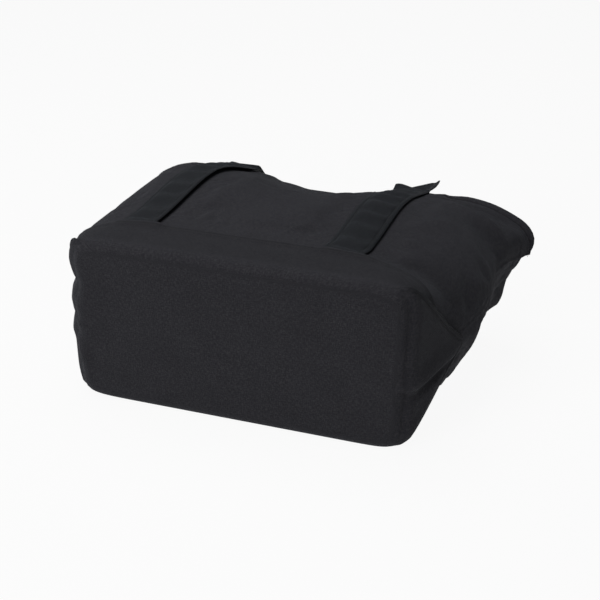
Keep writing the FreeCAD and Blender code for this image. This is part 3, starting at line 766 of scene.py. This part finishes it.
# The base is limp: it sags in slowly, and short creases of (x, z) places run in from the pinched corner.
BASE_CREASES = [
    ([(-0.197, 0.125), (-0.189, 0.113), (-0.183, 0.099)], 0.0022, 0.0034, 1.6),
    ([(-0.196, 0.092), (-0.188, 0.088), (-0.178, 0.082)], 0.0018, 0.0030, 1.6),
    ([(-0.195, 0.082), (-0.189, 0.072), (-0.184, 0.055), (-0.181, 0.042), (-0.179, 0.030)],
     0.0028, 0.0038, 1.6),
    ([(-0.196, 0.060), (-0.191, 0.040), (-0.186, 0.020)], -0.0022, 0.0040, 1.0),
    ([(0.120, 0.120), (0.080, 0.105), (0.020, 0.100)], 0.0009, 0.016, 1.5),
    ([(-0.120, 0.060), (-0.040, 0.075), (0.040, 0.060)], -0.0009, 0.018, 1.3),
    ([(0.147, 0.072), (0.128, 0.078), (0.105, 0.092)], 0.0014, 0.009, 1.6),
]
SHEET_SINK, SHEET_SAG, SHEET_SWELL = 0.0006, 0.0022, 0.003
inset = np.minimum.reduce([
    sheet_flat[:, 0] - sheet_flat[:, 0].min(), sheet_flat[:, 0].max() - sheet_flat[:, 0],
    sheet_flat[:, 2] - sheet_flat[:, 2].min(), sheet_flat[:, 2].max() - sheet_flat[:, 2]])
sheet_lift = soften(sheet_flat, 9.0, 21.0) * 0.0012 + soften(sheet_flat, 28.0, 5.0) * 0.0005 - SHEET_SINK
sheet_lift = sheet_lift * np.clip(inset / 0.03, 0, 1)


def base_creases(points):
    """Height of the creases in the base and round its soft edge."""
    over_edge = 1 - step_up((points[:, 1] - BASE_PLANE - 0.004) / 0.016)
    return sum(ridge(points[:, [0, 2]], *crease) for crease in BASE_CREASES) * over_edge


def up_the_walls(values):
    """One value for each row of the layer's walls, and none for its flat bottom."""
    return np.concatenate([np.zeros(len(sheet_flat)), np.repeat(values, ring_size)])


sheet_lift += base_creases(sheet_flat)
wall_lift = [layer_lift(ring, share) + base_creases(ring) for ring, share in zip(rings[1:], rim_share[1:])]
lift = np.concatenate([np.clip(sheet_lift, -SHEET_SAG, SHEET_SWELL), np.ravel(wall_lift)])
lift = np.minimum(lift, room_to_floor(layer_points, layer_facing) - TWO_LAYERS)
# The folded rim is rubbed. Painted shade makes the layer's walls a little darker than the panels, darkest in
# its line of stitches.
wall_share = rim_share[1:]
rim_wear = np.clip((wall_share - 0.93) / 0.07, 0, 1) * RIM_WEAR
stitch_painted_shade = 0.7 * mound((1 - wall_share) * TURN_UP, RIM_STITCHES, 0.0012)
layer_painted_shade = np.maximum(stitch_painted_shade, 0.26 * step_up(wall_share / 0.2))
bottom_layer = sew_cloth("bottom_layer_cloth", layer_points, np.array(layer_quads), layer_facing,
                         CANVAS + LAYER_GAP + lift, TWO_LAYERS + lift, layer_place,
                         up_the_walls(rim_wear), up_the_walls(layer_painted_shade))
finish_piece(bottom_layer, BODY_CANVAS, "bag", ["base_layer"])

# One stitch: places along it, how thick it is there, and how high its middle lies over the cloth.
THREAD_SHAPE = ((-0.5, 0.25, -1.3), (-0.36, 0.8, -0.4), (0.0, 1.0, 0.15), (0.36, 0.8, -0.4),
                (0.5, 0.25, -1.3))
THREAD_TURNS = np.linspace(0, 2 * math.pi, 6, endpoint=False)


def thread_stitches(name, seams, pitch=0.0031, length=0.0022, radius=0.00036):
    """Rows of stitches along seams of (points, normals): short rounded threads that dive in at both ends."""
    sides = len(THREAD_TURNS)
    last = sides * (len(THREAD_SHAPE) - 1)
    vertices, places, faces = [], [], []
    for points, facing in seams:
        run = lengths(points)
        middles = np.arange(pitch / 2, run[-1], pitch)
        centre, up = read_along(middles, run, points), read_along(middles, run, facing)
        ahead = read_along(middles + length / 2, run, points) - read_along(middles - length / 2, run, points)
        ahead /= np.maximum(np.linalg.norm(ahead, axis=1, keepdims=True), 1e-9)
        sideways = np.cross(up, ahead)
        sideways /= np.linalg.norm(sideways, axis=1, keepdims=True)
        up = np.cross(ahead, sideways)
        for k, middle in enumerate(middles):
            first = len(vertices) * (last + sides)
            vertices.append([centre[k] + ahead[k] * t * length + up[k] * radius * (sunk + r * math.cos(a))
                             + sideways[k] * radius * r * math.sin(a)
                             for t, r, sunk in THREAD_SHAPE for a in THREAD_TURNS])
            places.append([(middle + t * length, a * radius, 0)
                           for t, r, sunk in THREAD_SHAPE for a in THREAD_TURNS])
            for low in range(first, first + last, sides):
                for a in range(sides):
                    b = (a + 1) % sides
                    faces.append((low + a, low + sides + a, low + sides + b, low + b))
            faces.append(tuple(first + a for a in range(sides)))
            faces.append(tuple(first + last + a for a in reversed(range(sides))))
    mesh = bpy.data.meshes.new(name)
    mesh.from_pydata(np.vstack(vertices).tolist(), [], faces)
    mesh.shade_smooth()
    mark_points(mesh, "cloth_place", np.vstack(places))
    return put_in_scene(name, mesh)


def spun_thread(name, colour):
    """Twisted cotton sewing thread: fine slanting plies, slightly uneven in colour and shine."""
    material, tree, shader = new_material(name)
    place = add_node(tree, "Attribute", attribute_name="cloth_place").outputs["Vector"]
    plies = add_node(tree, "TexWave", {"Scale": 900, "Vector": place}, bands_direction="DIAGONAL")
    uneven = add_node(tree, "TexNoise", {"Scale": 240, "Vector": place}).outputs["Fac"]
    shade = add_node(tree, "Mix", data_type="RGBA")
    connect(tree, shade, {"Factor": uneven, "A": (*[c * 0.7 for c in colour], 1),
                          "B": (*[c * 1.6 for c in colour], 1)})
    rough = add_node(tree, "MapRange", {"To Min": 0.55, "To Max": 0.8, "Value": uneven})
    relief = add_node(tree, "Bump", {"Strength": 0.4, "Distance": 0.0001, "Height": plies.outputs["Fac"]})
    connect(tree, shader, {
        "Base Color": shade.outputs["Result"], "Roughness": rough.outputs["Result"],
        "Normal": relief.outputs["Normal"], "Sheen Weight": 0.1, "Specular IOR Level": 0.35})
    return material


SEWING_THREAD = spun_thread("sewing_thread", (0.0135, 0.0133, 0.0155))


def ring_line(share):
    """Closed line round the layer at a share of its height, on its outside, with the normals there."""
    row = int(np.argmin(np.abs(rim_share - share)))
    height = TWO_LAYERS + layer_lift(rings[row], rim_share[row])
    outside = rings[row] + ring_facing[row] * height[:, None]
    return tuple(np.vstack([line, line[:1]]) for line in (outside, ring_facing[row]))


rim_stitches = thread_stitches("bottom_layer_stitches", [ring_line(1 - RIM_STITCHES / TURN_UP)])
finish_piece(rim_stitches, SEWING_THREAD, "bag")

# --- Boxed corners --------------------------------------------------------------------------------------
# The bag's two bottom corners, pulled out to points, folded up against the side walls and sewn down along
# their two free edges: puffed triangles of doubled canvas with the tip on the side seam.
FLAP_REACH, FLAP_STITCHES = 0.085, 0.0042
FLAP_ROWS, FLAP_COLUMNS, FLAP_SPAN = 38, 81, SIDE_COLUMNS + 14
# Each flap's side of the bag, its thickness, and how plump it is.
FLAPS = {"right": (1, 0.003, 0.0016), "left": (-1, 0.0020, 0.0007)}
FLAP_LEAST = 0.0009
# A flap's edges slant across the rows, so these shares turn a distance along a row into one from the edge.
UPPER_SLANT, LOWER_SLANT, FLAP_MARGIN = 0.66, 0.76, 0.002
# Each flap's corners as distances above the side seam: at the base over and under it, and both at the tip.
FLAP_CORNERS = {"right": (0.0990, -0.0885, 0.001, -0.009), "left": (0.0955, -0.081, 0.001, -0.009)}
# Creases pressed into each flap, as (distance up from the base, distance above the side seam).
FLAP_CREASES = {
    "right": [([(-0.006, -0.016), (0.020, -0.014), (0.045, -0.010), (0.076, -0.009)], 0.0044, 0.0120, 0.30),
              ([(0.004, -0.028), (0.035, -0.022), (0.070, -0.016)], -0.0034, 0.0060, 1.0),
              ([(0.012, 0.050), (0.030, 0.026), (0.050, 0.012)], -0.0010, 0.0120, 1.0),
              ([(0.000, -0.070), (0.020, -0.060), (0.050, -0.036)], 0.0016, 0.0080, 1.0)],
    "left": [([(0.000, 0.070), (0.030, 0.060), (0.050, 0.042)], 0.0006, 0.0075, 1.0),
             ([(0.000, 0.040), (0.030, 0.036), (0.060, 0.024)], -0.0034, 0.0065, 1.0),
             ([(0.000, 0.019), (0.040, 0.017), (0.085, 0.002)], 0.0016, 0.0060, 1.0),
             ([(0.000, 0.001), (0.040, 0.000), (0.070, -0.002)], -0.0022, 0.0050, 1.0),
             ([(0.000, -0.016), (0.040, -0.018), (0.070, -0.012)], 0.0026, 0.0080, 1.0)],
}


def side_wall(way):
    """Rows of (distances round from the side seam, points, normals) on a side wall, and each one's climb."""
    shares = np.linspace(EDGE_RADIUS / SEAM_LENGTH, FLAP_REACH / SEAM_LENGTH, FLAP_ROWS - len(FOLD_STEPS))
    near = slice(0, FLAP_SPAN) if way > 0 else slice(None, -FLAP_SPAN - 1, -1)
    walls = {}
    for side in panels:
        grid = skin_rows(side, shares)
        walls[side] = [rows[:, near] for rows in (grid, skin_normals(grid, side))]
    rows = []
    for over, over_facing, under, under_facing in zip(*walls["front"], *walls["back"]):
        run = np.concatenate([-lengths(under)[:0:-1], lengths(over)])
        rows.append((run, np.vstack([under[:0:-1], over]), np.vstack([under_facing[:0:-1], over_facing])))
    return rows, np.concatenate([EDGE_RADIUS * np.cos(np.radians(FOLD_STEPS)) * 0.6, shares * SEAM_LENGTH])


# The line of painted shade under the right flap's fold, how far the left flap's upper corner at the base
# puffs out on its outside and inside, and how far a flap's upper edge stands off.
UNDER_FOLD = [(0.0, -0.026), (0.035, -0.019), (0.074, -0.014)]
CORNER_PUFF, CORNER_LIFT, EDGE_RISE = 0.0062, 0.0052, 0.0014

for name, (way, thick, plump) in FLAPS.items():
    wall, climb = side_wall(way)
    share_up = np.clip((climb - FLAP_MARGIN) / (FLAP_REACH - FLAP_MARGIN), 0, 1)
    top_start, foot_start, top_end, foot_end = FLAP_CORNERS[name]
    tops = top_start + (top_end - top_start) * share_up
    feet = foot_start + (foot_end - foot_start) * share_up
    sigma = np.linspace(-1, 1, FLAP_COLUMNS)
    sigma = np.sign(sigma) * (1 - (1 - np.abs(sigma)) ** 1.4)
    grid, facing, around, edge_off = [], [], [], []
    for (run, points, normals), top, bottom in zip(wall, tops, feet):
        s = (top + bottom) / 2 + (top - bottom) / 2 * sigma
        n = read_along(s, run, normals)
        grid.append(read_along(s, run, points))
        facing.append(n / np.linalg.norm(n, axis=1, keepdims=True))
        around.append(s)
        edge_off.append(np.minimum((top - s) * UPPER_SLANT, (s - bottom) * LOWER_SLANT))
    grid, facing, around, edge_off = (np.array(rows) for rows in (grid, facing, around, edge_off))
    up, s, edge_off = np.repeat(climb, FLAP_COLUMNS), around.ravel(), edge_off.ravel()
    edge_off = np.minimum(edge_off, FLAP_REACH + FLAP_MARGIN - up)
    wrap = step_up((up - 0.0015) / 0.014)
    flat_points = grid.reshape(-1, 3)
    pressed = np.clip(edge_off / 0.012, 0, 1) ** 0.6
    puff = plump * pressed * (1 + 0.5 * soften(flat_points, 26.0, 2.0))
    creases = sum(ridge(np.column_stack([up, s]), *crease) for crease in FLAP_CREASES[name]) * pressed
    creases = creases * step_up((up + 0.004) / 0.010)
    groove = 0.0006 * mound(edge_off, FLAP_STITCHES, 0.0012) * wrap
    low = TWO_LAYERS - CANVAS * (1 - wrap)
    high = low + CANVAS / 2 + (thick - LAYER_GAP) * wrap + puff * wrap + creases - groove
    low = low + LAYER_GAP * wrap + np.minimum(creases, 0) * 0.3
    if name == "left":
        corner = mound(up, 0.016, 0.009) * mound(s, top_start, 0.013)
        low, high = low + CORNER_LIFT * corner, high + CORNER_PUFF * corner
    lifted = EDGE_RISE * mound(edge_off, 0, 0.0026) * wrap * step_up((s + 0.012) / 0.01)
    low, high = low + lifted, high + lifted * 0.3
    high = np.maximum(high, low + FLAP_LEAST)
    # Painted shade on a flap: a dark line along its edges where a crevice would be shaded, and darker stitch
    # lines.
    flap_painted_shade = 0.8 * mound(edge_off, FLAP_STITCHES, 0.0012) + mound(edge_off, 0, 0.0024)
    on_side = 1 - step_up((s - 0.086) / 0.006)
    flap_painted_shade = np.clip(flap_painted_shade, 0, 1) * wrap * on_side
    # The right flap also gets painted shade under its fold and over its upper half.
    if name == "right":
        under_fold_painted_shade = ridge(np.column_stack([up, s]), UNDER_FOLD, 0.34, 0.006)
        upper_half_painted_shade = 0.22 * wrap * step_up((s + 0.02) / 0.03) * step_up((0.080 - s) / 0.03)
        flap_painted_shade = np.maximum.reduce([flap_painted_shade, under_fold_painted_shade, upper_half_painted_shade])
    flap = sew_sheet(f"corner_flap_{name}_cloth", grid, facing, low, high, way > 0,
                     np.column_stack([s, up, up * 0]), shade=flap_painted_shade)
    finish_piece(flap, BODY_CANVAS, "bag", [f"corner_flap_{name}"])
    outer = (flat_points + facing.reshape(-1, 3) * high[:, None]).reshape(grid.shape)
    seams = []
    for ends, inward in ((tops, -FLAP_STITCHES / UPPER_SLANT), (feet, FLAP_STITCHES / LOWER_SLANT)):
        line, lean = [], []
        for row in range(len(FOLD_STEPS) + 2, FLAP_ROWS - 2):
            place = ends[row] + inward
            if around[row].min() < place < around[row].max():
                line.append(read_along([place], around[row], outer[row])[0])
                lean.append(read_along([place], around[row], facing[row])[0])
        seams.append((np.array(line), np.array(lean)))
    finish_piece(thread_stitches(f"corner_flap_{name}_stitches", seams), SEWING_THREAD, "bag")

# --- Mouth hems -----------------------------------------------------------------------------------------
# The panels' upper edges are turned in once along the mouth and sewn down, so the rim is a soft rounded
# fold. The stitches stop where a strap lies over them.
HEM_STITCH_ROW, HEM_STITCH_SHARE = 3, 0.9

for side, panel in panels.items():
    share = HEM_WIDTH / PANEL_LENGTH[side]
    first = len(FOLD_STEPS) + np.flatnonzero(WALL_SHARES >= 1 - share)[0]
    grid, normals, slack = (panel[key][first:, 1:-1] for key in ("grid", "normals", "slack"))
    turned_in = slack - LAYER_GAP
    hem = sew_sheet(f"mouth_hem_{side}_cloth", grid, normals, turned_in - CANVAS, turned_in,
                    OUTWARD[side] > 0)
    finish_piece(hem, BODY_CANVAS, "bag", [f"mouth_hem_{side}"])
    facing = normals[HEM_STITCH_ROW]
    outside = grid[HEM_STITCH_ROW] + facing * (slack[HEM_STITCH_ROW] + CANVAS)[:, None]
    over_strap = np.zeros(len(outside), dtype=bool)
    for middle, lean in zip(STRAP_MIDDLES, STRAP_LEANS[side]):
        over_strap |= np.abs(outside[:, 0] - BAG_MIDDLE - middle - lean * HEM_STITCH_SHARE) < STRAP_WIDTH / 2
    open_runs = np.split(np.arange(len(outside)), np.where(np.diff(over_strap.astype(int)) != 0)[0] + 1)
    seams = [(outside[run], facing[run]) for run in open_runs if not over_strap[run[0]] and len(run) > 3]
    finish_piece(thread_stitches(f"mouth_hem_{side}_stitches", seams), SEWING_THREAD, "bag")

# At the right the back panel's hem is folded up behind the front rim and peeps out a little beyond it: how
# far, from where across the mouth, how deep its other end is tucked in, and how far behind the rim it lies.
PEEP, PEEP_FROM, TUCKED_IN, BEHIND_RIM = 0.0095, 0.120, 0.020, 0.0034
front = panels["front"]
grid, normals, slack = (front[key][-1] for key in ("grid", "normals", "slack"))
onward = grid - front["grid"][-2]
onward /= np.linalg.norm(onward, axis=1, keepdims=True)
columns = np.flatnonzero(grid[:, 0] - BAG_MIDDLE > PEEP_FROM)
seam_run = lengths(grid)[columns]
peeping = PEEP * step_up((grid[columns, 0] - BAG_MIDDLE - PEEP_FROM - 0.005) / 0.06)
peeping = peeping * (0.3 + 0.7 * step_up(seam_run / 0.025))
reach = -TUCKED_IN + (TUCKED_IN + peeping[None, :]) * np.linspace(0, 1, 16)[:, None]
behind = -BEHIND_RIM + 0.0052 * step_up((reach + 0.004) / 0.012)
edge_points = grid[columns] + onward[columns] * reach[:, :, None] + normals[columns] * (
    slack[columns] + behind)[:, :, None]
# Painted shadow: a dark line along the peeping hem just behind the front rim.
peeping_hem = sew_sheet("mouth_hem_back_fold", edge_points, grid_normals(edge_points, OUTWARD["front"]),
                        0.0, 2 * CANVAS, True, shade=mound(reach, 0.0005, 0.0018))
finish_piece(peeping_hem, BODY_CANVAS, "bag")

# A few threads have frayed loose where the right side seam ends at the mouth, each with its way and length.
seam_end = grid[0] + np.array([-0.0025, -0.001, 0.0])
FRAY_CURL, FRAY_POINTS = 0.0016, 8
FRAYS = [((0.004, 0.002, -0.003), 0.005), ((0.002, 0.004, -0.005), 0.004), ((0.005, -0.001, -0.002), 0.004),
         ((0.001, 0.005, -0.004), 0.004)]
fray_runs = []
for number, (way, length) in enumerate(FRAYS):
    way = np.array(way) / np.linalg.norm(way)
    curl = np.array([-way[2], 0.3, way[0]]) * FRAY_CURL
    t = np.linspace(0, 1, FRAY_POINTS)[:, None]
    root = seam_end + np.array([0, 0.0006 * number, 0])
    fray_runs.append((root + way * length * t + curl * np.sin(t * (2.2 + number)),
                      np.tile([0.0, 0.3, 1.0], (FRAY_POINTS, 1))))
frays = thread_stitches("frayed_threads", fray_runs, pitch=0.0008, length=0.0013, radius=0.00022)
finish_piece(frays, SEWING_THREAD, "bag")

# --- Handles --------------------------------------------------------------------------------------------
# Each handle is one strap of doubled canvas: its two ends are tucked under the bottom layer, it is sewn up
# the panel along both its edges, and it runs free beyond the rim as a loop that turns on its edge.
HANDLE_DROP, HANDLE_LEG, HINGE_GAP = 0.090, 0.026, 0.0013
# The front loop's arch, out and up as shares of its drop, at even steps along it.
FRONT_DROOP = np.array([(0.0, 0.0), (0.20, 0.0), (0.40, -0.14), (0.60, -0.40), (0.76, -0.74)])
# Near its rim the front loop is bent, and both its legs come down: its right leg swings outwards as well.
BEND_START, BEND_END, BEND_FADE = 0.026, 0.036, 0.054
RIGHT_SWING, RIGHT_SINK, LEFT_SINK = 0.014, 0.010, 0.009
# The higher this is, the further round the loop its strap turns on its edge.
TURN_DELAY = {"front": 1.5, "back": 1.0}
SEWN_ROWS, LEG_ROWS, ARC_ROWS = 84, 12, 52
LOOP_OFF_FLOOR, FOOT_TUCK = 0.0018, 0.004
half_shares = np.array([0.5, 0.487, 0.465, 0.435, 0.415, 0.40, 0.385, 0.36, 0.31, 0.24, 0.16, 0.08])
STRAP_SHARES = np.concatenate([half_shares, [0.0], -half_shares[::-1]])
STRAP_COLUMNS, STRAP_STITCHES = len(STRAP_SHARES), 0.40
# Between a strap's two seams its cloth has gathered in ripples: their length, mean height and depth, and how
# far out from its middle they reach. Its foot is drawn in to a share of its width.
RIPPLE_LENGTH, RIPPLE_MEAN, RIPPLE_DEPTH, RIPPLE_REACH = 0.027, 0.0015, 0.0021, 0.385
FOOT_WIDTH, SEWN_RUN = 0.93, 0.22
# How far each sewn strap stands off the panel along its +x edge, and its shift to the side at its foot.
EDGE_LIFT = {"front": (0.0034, 0.0012), "back": (0.0004, 0.0004)}
FOOT_SHIFT = {"front": (-0.002, -0.005), "back": (0.0, 0.0)}


def sewn_strap(side, number):
    """Middle surface of a sewn strap from under the bottom layer to the rim, with +x first in each row."""
    middle, lean = STRAP_MIDDLES[number], STRAP_LEANS[side][number]
    rows = []
    for along in np.linspace(TURN_UP_SHARE - FOOT_TUCK / SEAM_LENGTH, 1.0, SEWN_ROWS):
        line, reach_r, reach_l = cross_section(side, along)
        above = above_turn_up(along)
        width = STRAP_WIDTH * (FOOT_WIDTH + (1 - FOOT_WIDTH) * above)
        x = middle + FOOT_SHIFT[side][number] * (1 - above) + lean * above + width * STRAP_SHARES
        z = np.interp(x, line[::-1, 0], line[::-1, 1])
        rows.append(placed(side, along, np.column_stack([x, z]), reach_r, reach_l))
    grid = np.array(rows)
    facing = grid_normals(grid, OUTWARD[side])
    run = np.linspace(0, SEWN_RUN, SEWN_ROWS)[:, None]
    uneven = np.array([[noise.noise(Vector((r * 22, number * 7.0 + len(side), 0)))] for r in run[:, 0]])
    wave = np.sin(2 * math.pi * run / RIPPLE_LENGTH + 2.2 * uneven + 1.4 * STRAP_SHARES)
    loose = np.clip(1 - (np.abs(STRAP_SHARES) / RIPPLE_REACH) ** 4, 0, 1)
    ends = np.sin(np.pi * np.linspace(0.04, 0.96, SEWN_ROWS))[:, None] ** 0.4
    rippled = (RIPPLE_MEAN + RIPPLE_DEPTH * wave * (0.8 + 0.7 * uneven)) * loose * ends
    lifted = EDGE_LIFT[side][number] * step_up((STRAP_SHARES - 0.22) / 0.28) * ends
    raised = CANVAS + LAYER_GAP + STRAP / 2 + rippled + lifted
    raised = np.minimum(raised, room_to_floor(grid, facing) - STRAP / 2)
    return grid + facing * raised[:, :, None]


def loop_line():
    """Stations of a loop: across from its middle, distance from the rim, and share of the way round."""
    half = STRAP_SPACING / 2
    leg = [(-half, HINGE_GAP + (HANDLE_LEG - HINGE_GAP) * k / LEG_ROWS) for k in range(LEG_ROWS)]
    arc = [(-half * math.cos(a), HANDLE_LEG + (HANDLE_DROP - HANDLE_LEG) * math.sin(a))
           for a in np.linspace(0, math.pi, ARC_ROWS + 1)]
    stations = leg + arc + [(half, r) for _, r in leg[::-1]]
    return [(x, r, k / (len(stations) - 1)) for k, (x, r) in enumerate(stations)]


def front_profile(distance):
    """Out and up from the rim of the front loop at a distance along its drop."""
    places = np.linspace(0, 1, len(FRONT_DROOP))
    share = distance / HANDLE_DROP
    return tuple(smooth_curve(share, places, FRONT_DROOP[:, k]) * HANDLE_DROP for k in (0, 1))


def turn_on_edge(side, share):
    """How far the strap is turned about its own length: flat at both rims, on edge about half way round."""
    return math.radians(90) * math.sin(math.pi * share ** TURN_DELAY[side]) ** 1.5


def free_loop(side, left, right, skews):
    """Middle surface of the free loop between the two sewn straps' ends."""
    across = (right - left) / np.linalg.norm(right - left)
    out = np.array([0.0, 1.0, 0.0])
    up = np.cross(across, out)
    origin = (left + right) / 2
    stations = loop_line()
    centres = []
    for x, r, share in stations:
        turned = turn_on_edge(side, share)
        if side == "front":
            away, rise = front_profile(r)
            bend = step_up(r / BEND_START) * (1 - step_up((r - BEND_END) / BEND_FADE))
            rise -= (RIGHT_SINK if x > 0 else LEFT_SINK) * bend
            x += RIGHT_SWING * bend * (x > 0)
        else:
            on_floor = LOOP_OFF_FLOOR + (STRAP_WIDTH * math.sin(turned) + STRAP * math.cos(turned)) / 2
            sinking = origin[2] * (1 - min(1.0, r / HANDLE_LEG))
            away, rise = r, max(on_floor, sinking) - origin[2]
        wide = np.linalg.norm(right - left) / STRAP_SPACING
        centres.append(origin + across * x * wide + out * away + up * rise)
    rows = []
    for k, (x, r, share) in enumerate(stations):
        tangent = centres[min(k + 1, len(centres) - 1)] - centres[max(k - 1, 0)]
        tangent = tangent / np.linalg.norm(tangent)
        if side == "front":
            near, far = (front_profile(np.clip(r + d, 0, HANDLE_DROP)) for d in (-0.001, 0.001))
            slope = out * (far[0] - near[0]) + up * (far[1] - near[1])
            slope = slope / np.linalg.norm(slope)
        else:
            slope = out
        face = np.cross(across, slope)
        edge = np.cross(tangent, face)
        turned = turn_on_edge(side, share)
        width = edge * math.cos(turned) - face * math.sin(turned)
        width = width / np.linalg.norm(width) * STRAP_WIDTH
        skew = skews[0] if x < 0 else skews[1][::-1]
        fade = max(0.0, 1 - r / HANDLE_LEG)
        rows.append(centres[k] + np.outer(STRAP_SHARES, width) + np.outer(skew * fade, out))
    return np.array(rows)


STRAP_CLOTH = woven_cotton("strap_canvas", colour=(0.0100, 0.0115, 0.0146), yarn_tint=(0.020, 0.023, 0.028),
                           threads=1500, roughness=0.80, sheen=0.10, bump=0.4, tone_spread=0.5)
STRAP_THREAD = spun_thread("strap_thread", (0.019, 0.021, 0.025))
BEND_REACH = 0.009
# Across a strap: its rounded edges, the grooves of its two seams, and the painted shade on its seams and
# edges.
off_middle = np.abs(STRAP_SHARES)
seam_groove = 0.0003 * mound(off_middle, STRAP_STITCHES, 0.016)
rounding = STRAP / 2 * np.sqrt(np.clip(1 - (off_middle * 2) ** 14, 0.05, 1)) - seam_groove
strap_painted_shade = 0.65 * mound(off_middle, STRAP_STITCHES, 0.017) + 0.40 * mound(off_middle, 0.5, 0.020)

for side in ("front", "back"):
    left_rows, right_rows = (sewn_strap(side, number) for number in (0, 1))
    centre = STRAP_COLUMNS // 2
    skews = [rows[-1, :, 1] - rows[-1, centre, 1] for rows in (left_rows, right_rows)]
    loop = free_loop(side, left_rows[-1, centre], right_rows[-1, centre], skews)
    strap = np.concatenate([left_rows, loop, right_rows[::-1, ::-1]])
    normals = grid_normals(strap, 1)
    half = np.tile(rounding, len(strap))
    handle = sew_sheet(f"{side}_handle_strap", strap, normals, -half, half, True,
                       shade=np.tile(strap_painted_shade, len(strap)))
    reach = Vector((0, BEND_REACH, 0))
    finish_piece(handle, STRAP_CLOTH, None,
                 [f"strap_{side}_left", f"strap_{side}_right", f"handle_{side}"])
    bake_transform(handle)
    seams = []
    for column in np.flatnonzero(np.abs(off_middle - STRAP_STITCHES) < 0.001):
        for face in (1, -1):
            facing = normals[:, column] * face
            seams.append((strap[:, column] + facing * rounding[column], facing))
    stitches = thread_stitches(f"{side}_handle_stitches", seams)
    finish_piece(stitches, STRAP_THREAD, None)
    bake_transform(stitches)

# --- Floor, light and camera ----------------------------------------------------------------------------
# A pale studio floor that shows almost white but still takes the bag's shadow, a faint soft sky all round,
# and three broad soft lamps: one overhead, one low in front and one between them.
WHITE, NEARLY_WHITE = (1, 1, 1, 1), 0.93
FLOOR_REACH = 8
floor_mesh = bpy.data.meshes.new("floor")
floor_corners = [(x * FLOOR_REACH, y * FLOOR_REACH, 0) for x, y in ((-1, -1), (1, -1), (1, 1), (-1, 1))]
floor_mesh.from_pydata(floor_corners, [], [(0, 1, 2, 3)])
floor = put_in_scene("floor", floor_mesh)
pale, tree, shader = new_material("pale_floor")
connect(tree, shader, {"Base Color": (0.8, 0.8, 0.8, 1), "Roughness": 0.9})
glow = add_node(tree, "Emission", {"Color": WHITE})
seen = add_node(tree, "LightPath").outputs
reflected = math_node(tree, "MAXIMUM", seen["Is Camera Ray"], seen["Is Glossy Ray"])
whitened = add_node(tree, "MixShader", {"Fac": math_node(tree, "MULTIPLY", reflected, NEARLY_WHITE),
                                        1: shader.outputs["BSDF"], 2: glow.outputs["Emission"]})
connect(tree, tree.nodes["Material Output"], {"Surface": whitened.outputs["Shader"]})
floor_mesh.materials.append(pale)

world = bpy.data.worlds.new("soft_sky")
bpy.context.scene.world = world
world.use_nodes = True
tree = world.node_tree
faint_sky = tree.nodes["Background"]
connect(tree, faint_sky, {"Color": (0.95, 0.97, 1.0, 1), "Strength": 0.07})
white_sky = add_node(tree, "Background", {"Color": WHITE, "Strength": 1.0})
seen = add_node(tree, "LightPath").outputs
sky = add_node(tree, "MixShader", {"Fac": seen["Is Camera Ray"], 1: faint_sky.outputs["Background"],
                                   2: white_sky.outputs["Background"]})
connect(tree, tree.nodes["World Output"], {"Surface": sky.outputs["Shader"]})

LAMP_AIM = Vector((0, -0.05, 0.08))


def soft_lamp(name, place, size, power):
    """A square soft box that faces the bag."""
    light = bpy.data.lights.new(name, "AREA")
    light.shape = "SQUARE"
    light.size = size
    light.energy = power
    lamp = put_in_scene(name, light)
    lamp.location = place
    lamp.rotation_mode = "QUATERNION"
    lamp.rotation_quaternion = (LAMP_AIM - Vector(place)).to_track_quat("-Z", "Y")


soft_lamp("overhead_soft_box", place=(-0.5, 0.2, 1.9), size=1.4, power=17.5)
soft_lamp("front_soft_box", place=(-0.8, -2.0, 1.0), size=1.2, power=14.0)
soft_lamp("high_front_soft_box", place=(-0.4, -1.6, 1.9), size=1.2, power=9.5)

camera_data = bpy.data.cameras.new("camera")
camera_data.sensor_width = 36
camera_data.lens = 66.38
camera = put_in_scene("camera", camera_data)
LOOK_AT, DISTANCE = Vector((0.0495, -0.1845, 0.1527)), 1.0447
AZIMUTH, ELEVATION, ROLL = (math.radians(angle) for angle in (16.99, 27.62, 0.95))
backwards = Vector((math.sin(AZIMUTH) * math.cos(ELEVATION), -math.cos(AZIMUTH) * math.cos(ELEVATION),
                    math.sin(ELEVATION)))
camera.location = LOOK_AT + backwards * DISTANCE
camera.rotation_mode = "QUATERNION"
camera.rotation_quaternion = (-backwards).to_track_quat("-Z", "Y") @ Quaternion((0, 0, 1), ROLL)
bpy.context.scene.camera = camera
bpy.context.scene.view_settings.view_transform = "Standard"
